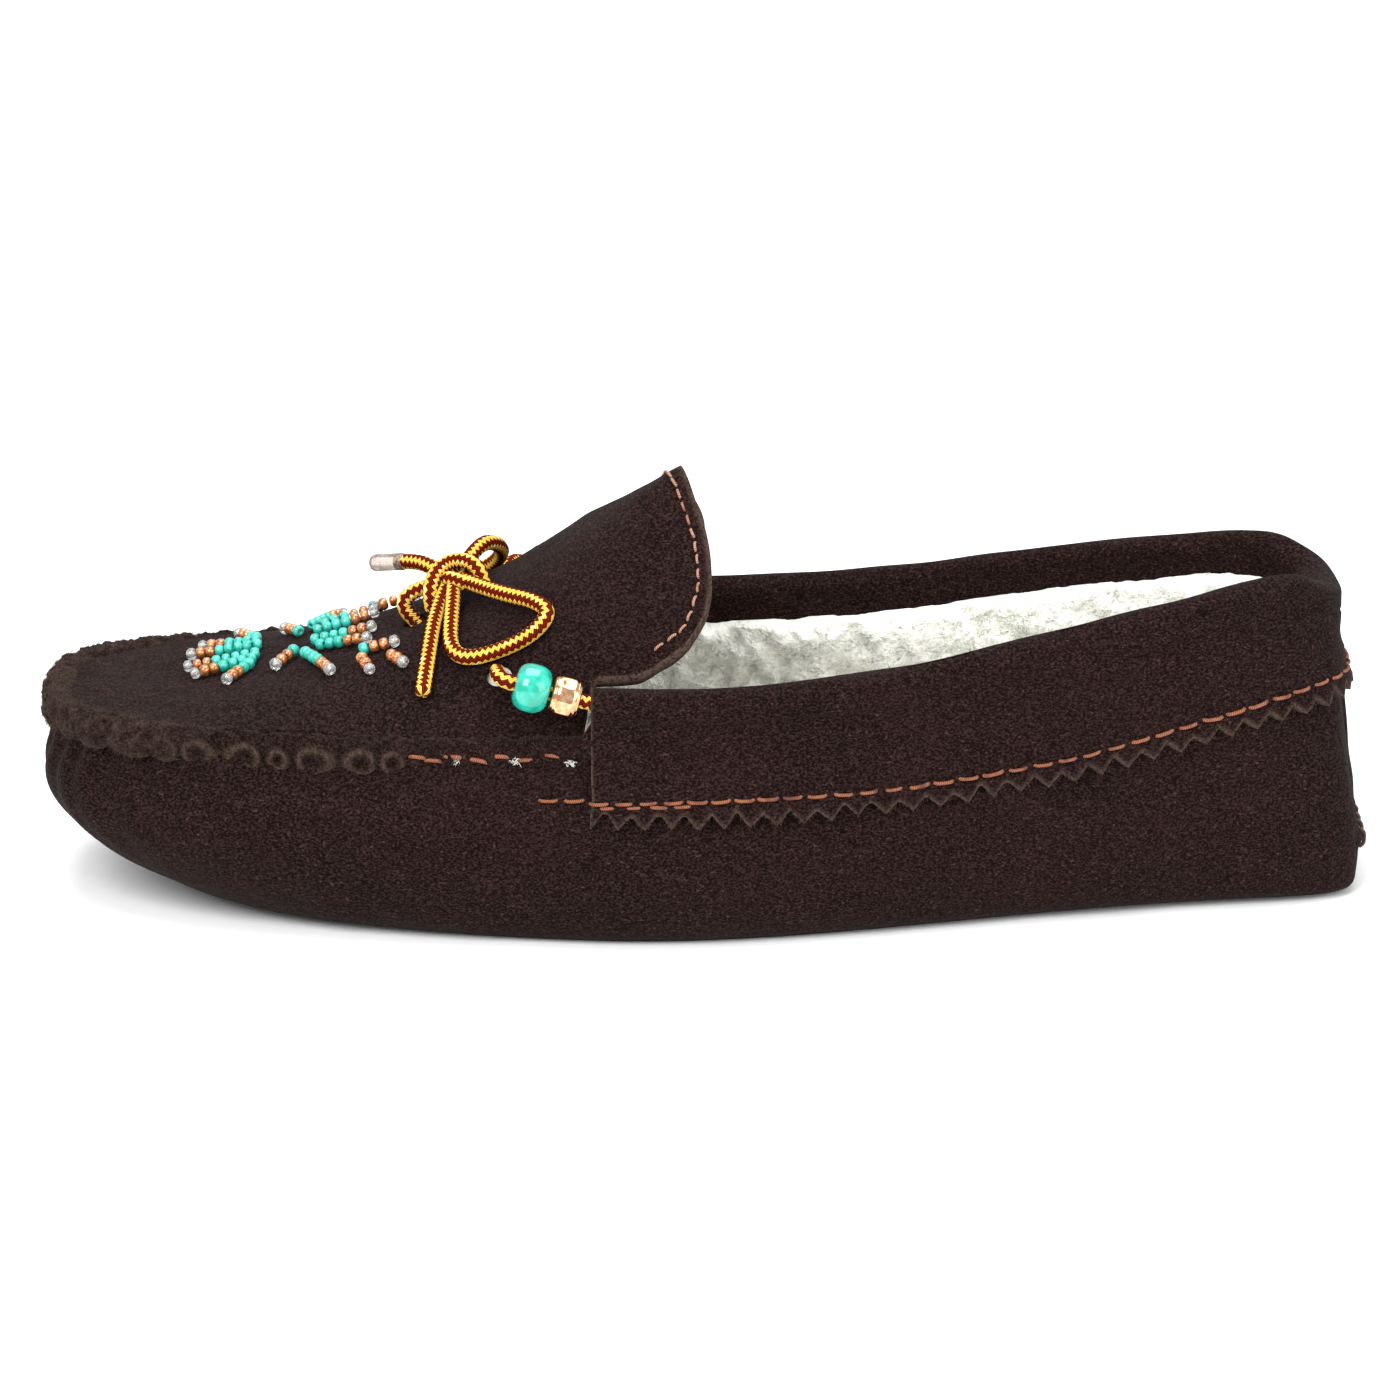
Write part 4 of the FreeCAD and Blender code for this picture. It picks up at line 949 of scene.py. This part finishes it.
def cuff_face(outside, inside, edge_up, drop, arch_drop):
    """Rows from the lower edge up the outer flap, over the fold and down the inner flap."""
    x = skin(rim_angles, 44.0)[:, 0]
    top = curve(CUFF_TOP, x) - arch_drop
    low = curve(CUFF_EDGE, x) + edge_up
    width = inside - outside
    arch = 3.0
    rows = []
    for share in np.linspace(0, 1, FLAP_ROWS):
        rows.append(rim_point(rim_angles, low + (top - arch - low) * share, outside))
    for share in np.linspace(0, 1, FOLD_ROWS)[1:]:
        turn = math.pi * share
        inset = outside + width * 0.5 * (1 - math.cos(turn))
        row = rim_point(rim_angles, top - arch, inset)
        row[:, 2] = top - arch + arch * math.sin(turn)
        rows.append(row)
    for share in np.linspace(0, 1, INNER_ROWS)[1:]:
        rows.append(rim_point(rim_angles, top - arch - (drop - arch) * share, inside))
    return np.array(rows)


phase = np.arange(len(rim_angles)) / columns_per_tooth
teeth_up = TOOTH_DEPTH * np.abs(2 * (phase - np.floor(phase + 0.5)))
teeth_up = teeth_up * (1 + 0.12 * np.sin(phase * 2.7) + 0.08 * np.sin(phase * 1.3 + 1))
low_share = np.concatenate([np.linspace(1, 0, FLAP_ROWS), np.zeros(FOLD_ROWS - 1 + INNER_ROWS - 1)])[:, None]
cuff_out = cuff_face(FLAP_OUTSET, 5.0, teeth_up, 8.5, 0.0)
cuff_in = cuff_face(-0.15, 3.5, teeth_up, 7.0, 1.5)
crease = 0.34 * waves(cuff_out * np.array([0.35, 0.35, 1.6]), 9.0, 71) + 0.22 * waves(cuff_out, 24.0, 72)
flare = 0.5 * smooth((low_share - 0.82) / 0.18) * waves(cuff_out, 15.0, 73)
sewn_in = -0.55 * np.exp(-((low_share - 0.18) / 0.0312) ** 2)
outer_rows = FLAP_ROWS + (FOLD_ROWS - 1) // 2
face_sign = np.where(np.arange(len(low_share)) < outer_rows, 1.0, -1.0)[:, None]
push = (crease + flare + sewn_in) * face_sign
normal = level_normal(cuff_out)
cuff_out = cuff_out + normal * push[..., None]
cuff_in = cuff_in + normal * (push - 0.1)[..., None]
raw = smooth((low_share - 0.955) / 0.045) * np.ones((1, len(rim_angles)))
ends = np.minimum(np.arange(len(rim_angles)), np.arange(len(rim_angles))[::-1])[None, :]
raw = np.maximum(raw, (ends < 1) * 1.0)
cuff = two_sided("pinked_cuff", cuff_out, cuff_in, suede, "shoe", 0.8 * raw)
declare(cuff, "suede", "cuff")
roots = scatter(np.concatenate([cuff_in[:1], cuff_out[:1]]), 2600, 75)[0]
downward = np.broadcast_to([0.0, 0.0, -1.0], roots.shape)
cuff_fuzz = fibres("cuff_edge_fuzz", roots, downward, suede_fuzz, "shoe", 0.8, 0.07, 76, 1.0)
declare(cuff_fuzz, "suede")
print("cuff:", teeth, "teeth,", len(cuff.data.polygons), "faces")

# %% [markdown]
# ## Pile lining
# Fleece with a deep pile lines the walls, and a loose piece of it lies on the foam insole. Its knitted back
# follows the skin; its face is pushed out in soft clumps, and thousands of short curled hairs stand on it,
# so that its edge against the dark suede is woolly and not a line.

# %% Pile lining, insole and foam
PILE_IN = 8.5
pile_angles = even_angles(620, 0, 2 * math.pi, 30.0)
x = skin(pile_angles, 38.0)[:, 0]
behind = smooth((x - CUFF_FRONT - 1.0) / 4.0)
pile_top = (curve(SEAM, x) - 3.6) * (1 - behind) + (curve(CUFF_TOP, x) - 8.0) * behind
levels_up = np.linspace(0, 1, 44)
pile_heights = 7.3 + (pile_top - 7.3)[None, :] * levels_up[:, None]
rounded = np.sqrt(np.clip(1 - ((levels_up - 0.86) / 0.14).clip(0, 1) ** 2, 0, 1))[:, None]
pile_back = skin(pile_angles[None, :], pile_heights, SUEDE + 0.15)
tucked = skin(pile_angles[None, :], pile_heights, SUEDE + 4.2)
pile_back = pile_back + (tucked - pile_back) * smooth((-40.0 - pile_back[..., 0]) / 12.0)[..., None]
pile_back[..., 2] = pile_heights
pile_face = skin(pile_angles[None, :], pile_heights, PILE_IN)
pile_face[..., 2] = pile_heights
pile_face = pile_back + (pile_face - pile_back) * (0.45 + 0.55 * rounded)[..., None]
clumps = 1.0 * waves(pile_face, 9.0, 81) + 0.7 * waves(pile_face, 4.2, 82) + 0.35 * waves(pile_face, 2.0, 83)
pile_face = pile_face + level_normal(pile_back) * (clumps * -0.9)[..., None]
loop_back = np.concatenate([pile_back, pile_face[::-1], pile_back[:1]])
side_pile = grid_piece("side_lining", loop_back, pile, "shoe")
declare(side_pile, "pile", "side_pile")
weight = 0.08 + 0.92 * (pile_face[..., 0] > CUFF_FRONT - 8)
weight = weight * ((levels_up > 0.2) & (levels_up < 0.93))[:, None]
roots = scatter(pile_face, 15000, 84, weight)[0]
towards = unit(np.stack([-0.15 * roots[:, 0], -np.sign(roots[:, 1]), np.full(len(roots), 0.5)], axis=-1))
side_wool = fibres("side_lining_wool", roots, towards, pile, "shoe", 1.9, 0.2, 85, 1.1)
declare(side_wool, "pile")


def plate(name, low, high, inset, material, lumps, columns=300, rows=26):
    """A loose layer between two heights inside the skin, its upper face uneven by lumps millimetres."""
    around = even_angles(columns, 0, 2 * math.pi)
    levels = np.array([low, low + 0.5, 0.5 * (low + high), high - 0.6, high])
    drawn = inset + np.array([0.8, 0.1, 0.0, 0.1, 0.9])
    walls = [skin(around, level * 0.9, more) for level, more in zip(levels, drawn)]
    for wall, level in zip(walls, levels):
        wall[:, 2] = level
    shares = np.linspace(0, 1, rows)
    face = sole_rows(walls[-1], shares[::-1])
    inside = smooth((1 - shares[::-1]) / 0.1)[:, None]
    face[..., 2] += lumps * (waves(face, 8.0, 91) + 0.7 * waves(face, 3.6, 92)) * inside
    under = sole_rows(walls[0], shares)
    return grid_piece(name, np.concatenate([under, np.array(walls), face]), material, "shoe"), face


insole_pile, insole_face = plate("insole_fleece", 7.25, 11.6, 9.2, pile, 0.55, 420, 60)
declare(insole_pile, "pile", "insole_pile")
roots = scatter(insole_face, 7000, 93, (insole_face[..., 0] > -40) * 1.0 + 0.05)[0]
upwards = np.broadcast_to([0.0, 0.0, 1.0], roots.shape)
insole_wool = fibres("insole_wool", roots, upwards, pile, "shoe", 2.4, 0.24, 94, 0.9)
declare(insole_wool, "pile")
foam_pad = plate("foam_insole_pad", 1.95, 6.85, 2.4, foam, 0.0)[0]
declare(foam_pad, "foam", "foam_insole")
print("lining:", len(side_pile.data.polygons) + len(insole_pile.data.polygons), "faces")

# %% [markdown]
# ## Lace, beads and bow
# The lace is a 3 mm round braid. It runs under the apron from the middle holes to the side holes, through a
# turquoise pony bead and a plated metal bead on each side, into the cuff and right round the heel. Its two
# ends come up through the middle holes and are tied in a bow. Each free stretch follows its own control
# points, given as a place on the apron and a rise square to it.

# %% Lace, beads and bow
PONY_BEAD, METAL_BEAD = np.array([-31.2, -37.4, 47.7]), np.array([-25.1, -37.4, 46.0])
BEAD_LINE = unit(METAL_BEAD - PONY_BEAD)
TUNNEL_LEVEL, TUNNEL_INSET, TUNNEL_DROP = 44.0, 1.7, 3.25
NEAR_STUB = ((-54.0, -3.5, 0.0), (-55.6, -3.4, 3.2), (-53.0, -3.0, 5.8), (-48.0, -2.6, 4.6))
FAR_STUB = ((-50.0, 4.5, 0.0), (-50.2, 4.3, 2.6), (-48.6, 2.4, 4.4), (-46.3, -0.6, 4.4))
NEAR_LOOP = (
    (-43.4, -4.6, 4.2), (-40.0, -9.0, 2.9), (-35.2, -14.4, 2.1), (-30.4, -18.4, 1.9), (-27.4, -21.6, 1.8),
    (-31.0, -23.9, 1.8), (-37.4, -24.4, 1.8), (-43.4, -24.0, 1.8), (-46.4, -20.8, 1.8), (-46.0, -12.6, 2.2),
    (-45.2, -5.2, 3.6),
)
NEAR_TAIL = ((-46.8, -3.8, 3.6), (-48.9, -9.6, 2.2), (-50.0, -17.8, 1.8), (-51.3, -28.0, 1.8))
FAR_LOOP = (
    (-43.6, -1.2, 4.8), (-40.8, 2.6, 6.0), (-38.2, 6.2, 6.0), (-36.8, 10.8, 3.6), (-37.6, 16.4, 2.0),
    (-41.0, 19.8, 1.8), (-45.0, 18.0, 1.8), (-46.4, 11.6, 2.2), (-45.6, 2.4, 3.6),
)
FAR_TAIL = ((-46.2, 0.4, 4.6), (-48.6, 3.4, 6.8), (-51.4, 6.4, 8.2), (-54.8, 8.6, 8.8))


def lifted(route):
    """Points given as (x, y, rise square to the apron)."""
    table = np.array(route, float)
    return on_apron(table[:, 0], table[:, 1], table[:, 2])[0]


def lace_piece(name, points, *nodes, end_round=False, sides=32, spacing=0.25):
    """A stretch of braid along the spline of its control points."""
    path = spline_path(name, points, spacing)
    grid, uv = tube_grid(path, LACE / 2 - 0.06, sides, False, end_round, 0.09, 1.15)
    made = grid_piece(name, grid, lace_braid, "shoe", uv=uv)
    declare(made, "lace", *nodes)
    return made, path


free = (
    ("lace_stub_near_braid", NEAR_STUB, "lace_stub_near"),
    ("lace_stub_far_braid", FAR_STUB, "lace_stub_far"),
    ("bow_loop_near_braid", NEAR_LOOP, "bow_loop_near"),
    ("bow_loop_far_braid", FAR_LOOP, "bow_loop_far"),
    ("bow_tail_near_braid", NEAR_TAIL, "bow_tail_near"),
    ("bow_tail_far_braid", FAR_TAIL, "bow_tail_far"),
)
paths = {}
for name, route, node in free:
    made, paths[node] = lace_piece(name, lifted(route), node, end_round=(node == "bow_tail_near"))

side_route = list(lifted(((-54.0, -3.5, -0.3), (-53.4, -5.6, -4.6), (-46.0, -17.0, -4.4), (-39.4, -24.4, -4.6))))
side_route += list(lifted(((-37.6, -27.2, 0.7),)))
side_route += [np.array([-37.8, -33.0, 49.6]), PONY_BEAD - BEAD_LINE * 5.8]
side_route += [PONY_BEAD - BEAD_LINE * 2.6, METAL_BEAD + BEAD_LINE, METAL_BEAD + BEAD_LINE * 3.4]
side_route += [np.array([-17.2, -35.1, 43.6])]
other_side = np.array([1.0, -1.0, 1.0])
far_route = list(lifted(((-50.0, 4.5, -0.3), (-49.4, 6.6, -4.6))))
far_route += [place * other_side for place in side_route[2:]]
tunnel_start = front_angle(CUFF_FRONT + 10.0, TUNNEL_LEVEL)
tunnel = even_angles(38, tunnel_start, 2 * math.pi - tunnel_start, TUNNEL_LEVEL, TUNNEL_INSET)
tunnel_x = skin(tunnel, TUNNEL_LEVEL)[:, 0]
tunnel_points = skin(tunnel, curve(CUFF_TOP, tunnel_x) - TUNNEL_DROP, TUNNEL_INSET)
lace_piece("held_lace_braid", side_route + list(tunnel_points) + far_route[::-1], "lace", sides=24, spacing=0.5)


# %% Knot
# a strand laid over the crossing from the lower left up and over to the right, a core and a strand beneath
KNOT = (
    ("knot_wrap_braid", "bow_knot",
     ((-50.2, -5.6, 1.6), (-49.6, -5.6, 4.6), (-47.6, -3.0, 7.0), (-44.6, -0.8, 7.4), (-41.4, -2.2, 6.6),
      (-39.6, -4.6, 4.4), (-40.2, -5.4, 1.6))),
    ("knot_core_braid", None, ((-48.6, 0.6, 3.0), (-46.6, -2.4, 5.0), (-44.2, -5.2, 5.2), (-42.4, -6.6, 3.6))),
    ("knot_under_braid", None, ((-48.4, -5.0, 2.2), (-45.8, -3.0, 3.4), (-43.2, -0.6, 3.8), (-41.2, 1.0, 3.0))),
)
for name, node, route in KNOT:
    lace_piece(name, lifted(route), *([node] if node else []))

# %% Aglet
tail = paths["bow_tail_far"]
sleeve_path = tail[-1] + unit(tail[-1] - tail[-3]) * np.linspace(-1.2, 5.6, 30)[:, None]
grid, uv = tube_grid(sleeve_path, 1.68, 28, True, True)
aglet = grid_piece("aglet_sleeve", grid, aglet_film, "shoe", uv=uv)
declare(aglet, "aglet", "aglet")


# %% Beads on the lace
def turned(name, profile, centre, axis, material, body, facets=None):
    """A bead turned about an axis: profile rows are (along, radius); facets flattens its middle."""
    axis = unit(axis)
    side = unit(np.cross(axis, [0.0, 0.0, 1.0]))
    up = np.cross(side, axis)
    angle = np.linspace(0, 2 * math.pi, 73)
    along, radius = np.array(profile).T
    reach = np.repeat(radius[:, None], len(angle), axis=1)
    if facets:
        count, cut = facets
        local = (angle % (2 * math.pi / count)) - math.pi / count
        flat = math.cos(math.pi / count) / np.cos(local)
        share = np.exp(-(along / 1.25) ** 4)[:, None]
        reach = reach * (1 + share * (flat[None, :] - 1) * cut)
    ring = np.cos(angle)[None, :, None] * side + np.sin(angle)[None, :, None] * up
    grid = centre + along[:, None, None] * axis + reach[..., None] * ring
    return grid_piece(name, grid, material, body)


def bead_profile(length, radius, bore, roundness=2.4):
    """Rounded barrel: r = bore + (radius - bore)(1 - |2x/length|^n)^(1/n), closed through the bore."""
    t = np.linspace(-math.pi / 2, math.pi / 2, 27)
    along = 0.5 * length * np.sign(np.sin(t)) * np.abs(np.sin(t)) ** (2 / roundness)
    reach = bore + (radius - bore) * np.abs(np.cos(t)) ** (2 / roundness)
    return list(zip(along, reach)) + [(along[-1], bore), (along[0], bore), (along[0], reach[0])]


def metal_profile():
    """The plated bead: rounded rims, two turned grooves near each end and a hammered middle."""
    rows = bead_profile(5.4, 4.0, 1.95, 3.4)
    shaped = []
    for along, reach in rows[:-3]:
        grooves = ((0.32, 1.75, 0.16), (0.2, 2.2, 0.12))
        depth = sum(deep * math.exp(-((abs(along) - at) / wide) ** 2) for deep, at, wide in grooves)
        shaped.append((along, max(reach - depth, 1.95)))
    return shaped + rows[-3:]


for name, turn in (("near", np.array([1.0, 1.0, 1.0])), ("far", other_side)):
    line = BEAD_LINE * turn
    barrel = bead_profile(6.5, 4.5, 1.95)
    pony = turned("turquoise_pony_" + name, barrel, PONY_BEAD * turn, line, turquoise, "pony_" + name)
    declare(pony, "turquoise", "pony_bead_" + name)
    metal = turned(
        "plated_bead_" + name, metal_profile(), METAL_BEAD * turn, line, plated, "metal_" + name, (9, 1.0))
    declare(metal, "copper_metal", "metal_bead_" + name)

# %% [markdown]
# ## Seed beads
# Small glass beads are sewn down in short strands that spread out from the middle: turquoise inside, two
# copper-lined ones and a clear one at the outer tip of each strand. Each is a rounded ring threaded along
# its strand, no two quite alike.

# %% Seed beads
STRAND_MIDDLE = 2.6
STRANDS = (
    (-83.6, -0.2, -98.2, -1.2),
    (-84.0, -2.8, -96.4, -6.2),
    (-84.8, -5.2, -89.4, -13.0),
    (-76.4, -2.8, -80.4, -10.4),
    (-74.8, -6.0, -68.8, -17.8),
    (-73.8, -0.4, -61.2, -1.9),
    (-72.6, -4.0, -61.8, -7.9),
    (-64.0, -12.2, -56.2, -13.2),
    (-63.6, -14.8, -61.2, -20.8),
    (-58.0, -16.8, -54.8, -20.9),
)


def seed_shape():
    """A rounded ring 1.75 mm long and 2.3 mm across, with its axis along X."""
    profile = np.array(bead_profile(1.75, 1.17, 0.4, 2.2))[::2]
    profile = np.concatenate([profile, profile[:1]])
    angle = np.linspace(0, 2 * math.pi, 19)
    reach = profile[:, 1][:, None] * np.ones_like(angle)[None, :]
    points = np.stack([profile[:, 0][:, None] + 0 * reach, reach * np.cos(angle), reach * np.sin(angle)], axis=-1)
    return points.reshape(-1, 3), grid_faces(len(profile), len(angle))


random = np.random.default_rng(SEED)
groups = {"turquoise_beads": [], "copper_beads": [], "clear_beads": []}
for start_x, start_y, end_x, end_y in STRANDS:
    for side in (-1, 1):
        shift = STRAND_MIDDLE * (1 + side)
        first = np.array([start_x, shift - side * start_y])
        last = np.array([end_x, shift - side * end_y])
        ends = on_apron(*np.array([first, last]).T)[0]
        count = max(int(np.linalg.norm(ends[1] - ends[0]) / 1.82), 3)
        share = (np.arange(count) + 0.5) / count
        places = first + (last - first) * share[:, None]
        centres, normals = on_apron(places[:, 0], places[:, 1], 1.3)
        axes = laid_axes(np.gradient(centres, axis=0), normals, random, 0.09)
        for i in range(count):
            to_tip = count - 1 - i
            group = "clear_beads" if to_tip == 0 else "copper_beads" if to_tip <= 2 else "turquoise_beads"
            groups[group].append((centres[i], axes[i], random.uniform(0.93, 1.04)))
seed_points, seed_faces = seed_shape()
for (group, found), look, slot in zip(
        groups.items(), (turquoise_seed, copper_seed, clear_seed), ("turquoise", "copper_glass", "clear_glass")):
    places, axes, sizes = (np.array(part) for part in zip(*found))
    made = many(group + "_sewn", seed_points, seed_faces, places, look, "shoe", axes, sizes)
    declare(made, slot, group)
    print(group, len(found), "beads")

# %% [markdown]
# ## Stitching
# A stitch is a short length of thread that rises out of the leather, lies on it and dives back in. The
# running line above the pinked edge is copper, the tongue's is paler and finer, the coarse ones on the
# ungathered seam are copper, and the heel's are dark.

# %% Stitching
def stitch_shape(radius, length, sag=0.9):
    """A bowed thread with its middle on the surface and both ends sunk into it; along X, surface is Z up."""
    t = np.linspace(-1, 1, 11)
    path = np.stack([t * length / 2, 0 * t, radius * 0.75 - sag * radius * 2.2 * np.abs(t) ** 4], axis=-1)
    grid, uv = tube_grid(path, radius, 9)
    return grid.reshape(-1, 3), grid_faces(*grid.shape[:2]), uv.reshape(-1, 2)


def sew(name, places, along, normals, radius, length, material, node, slot, seed, body="shoe"):
    """Stitches at places, each turned and sized a little differently."""
    random = np.random.default_rng(seed)
    axes = laid_axes(along, normals, random, 0.05)
    points, faces, uv = stitch_shape(radius, length)
    made = many(name, points, faces, places, material, body, axes, random.uniform(0.9, 1.08, len(places)), uv)
    declare(made, slot, node)
    print(name, len(places), "stitches")
    return made


pitch = 4.6
stitch_rise = 4.3
line_count, margin = int(rim_length / pitch), 0.012
line_angles = even_angles(line_count, start + margin, 2 * math.pi - start - margin, RIM_LEVEL, FLAP_OUTSET)
x = skin(line_angles, 40.0)[:, 0]
line = rim_point(line_angles, curve(CUFF_EDGE, x) + stitch_rise, FLAP_OUTSET)
cuff_normals = level_normal(line[:, None, :], axis=0)[:, 0]
line = line + cuff_normals * (0.22 * waves(line, 24.0, 72) + 0.12)[:, None]
along = np.gradient(line, axis=0)
ahead_places, ahead_along, ahead_normals = [], [], []
for side in (-1, 1):
    for x in (-23.4, -28.3):
        place, step, outward_now = beside(x, float(curve(CUFF_EDGE, x)) + stitch_rise, 28.0, side)
        ahead_places.append(place + outward_now * 0.25)
        ahead_along.append(step)
        ahead_normals.append(outward_now)
near_front = np.flatnonzero(np.minimum(np.arange(len(line)), np.arange(len(line))[::-1]) < 4)
doubled = line[near_front] - np.array([0, 0, 0.75]) + 0.4 * along[near_front]
sew("cuff_running_line", np.concatenate([line, doubled, ahead_places]),
    np.concatenate([along, along[near_front], ahead_along]),
    np.concatenate([cuff_normals, cuff_normals[near_front], ahead_normals]), 0.34, 3.4, thread,
    "cuff_stitches", "thread", 101)

side_x = np.linspace(-8.5, -2.6, 16)
side_y = curve(TONGUE_SIDE, side_x)
free_c = np.linspace(-1, 1, 801)
free_x = curve(FREE_EDGE, free_c)
free_y = free_c * half_width(free_x, 1.4)[0]
edge_x = np.concatenate([side_x, free_x, side_x[::-1]])
edge_y = np.concatenate([-side_y, free_y, side_y])
marks = arc_length(np.stack([edge_x, edge_y], axis=-1))
even = np.linspace(0, marks[-1], 400)
edge = np.stack([np.interp(even, marks, edge_x), np.interp(even, marks, edge_y)], axis=-1)
for _ in range(12):
    edge[1:-1] = 0.25 * edge[:-2] + 0.5 * edge[1:-1] + 0.25 * edge[2:]
tangent = unit(np.gradient(edge, axis=0))
inwards = np.stack([-tangent[:, 1], tangent[:, 0]], axis=-1)
ahead = edge + inwards * 1.5
climb = (apron_height(*ahead.T) - apron_height(*edge.T)) / 1.5
edge = edge + inwards * (2.9 / np.sqrt(1 + climb ** 2))[:, None]
marks = arc_length(on_apron(*edge.T)[0])
picks = np.interp(np.arange(1.0, marks[-1] - 1.0, 2.85), marks, np.arange(len(marks)))
px, py = (np.interp(picks, np.arange(len(edge)), values) for values in edge.T)
normals = on_apron(px, py)[1]
places = crowned_point(px, py) + normals * 0.12
tongue_line = sew("tongue_running_line", places, np.gradient(places, axis=0), normals, 0.27, 1.9, tongue_thread,
                  "tongue_stitches", "thread", 102, None)
bend_with_tongue(tongue_line)

places, along, normals = [], [], []
for side in (-1, 1):
    for i, x in enumerate((-52.4, -49.2, -46.0, -41.2, -36.6, -32.2, -27.4)):
        place, step, outward_now = beside(x, SEAM_HEIGHT, SEAM_HEIGHT, side)
        rise = curve(SEAM, x) - SEAM_HEIGHT - 1.2 - 0.7 * (i % 2)
        places.append(place + outward_now * 1.45 + [0, 0, rise])
        along.append(step + np.array([0, 0, 0.10 * (i % 3 - 1)]))
        normals.append(outward_now + np.array([0, 0, 0.5]))
sew("seam_whip_stitches", np.array(places), np.array(along),
    unit(np.array(normals)), 0.40, 3.4, thread,
    "apron_stitches", "thread", 103)

heel_y = -13.5 + 4.5 * np.arange(7)
heel_places = np.stack([np.full(7, HALF_LENGTH - 0.25), heel_y, np.full(7, 10.0)], axis=-1)
sew("heel_cross_stitches", heel_places, np.tile([0.0, 0.12, 1.0], (7, 1)), np.tile([1.0, 0, 0], (7, 1)), 0.4, 3.4,
    dark_thread, "heel_stitches", "dark_thread", 104)

# %% [markdown]
# ## Tufts
# Small tufts of white pile are caught in the ungathered stretch of the seam and stand out between the
# stitches.

# %% Tufts
tuft_roots = []
random = np.random.default_rng(7)
for side in (-1, 1):
    for x in (-45.3, -34.4, -24.2):
        place = skin(side_angle(x, SEAM_HEIGHT, side), SEAM_HEIGHT)
        place = place + np.array([0, side * 1.1, -1.6 + 0.4 * random.normal()])
        tuft_roots.append(place + random.normal(0, 0.35, (36, 3)) * np.array([1.0, 0.4, 0.7]))
tuft_roots = np.concatenate(tuft_roots)
outwards = np.sign(tuft_roots) * [0.0, 1.0, 0.0] + [0.0, 0.0, 0.2]
tufts = fibres("caught_pile_tufts", tuft_roots, outwards, pile, "shoe", 1.3, 0.2, 111, 0.8)
declare(tufts, "pile")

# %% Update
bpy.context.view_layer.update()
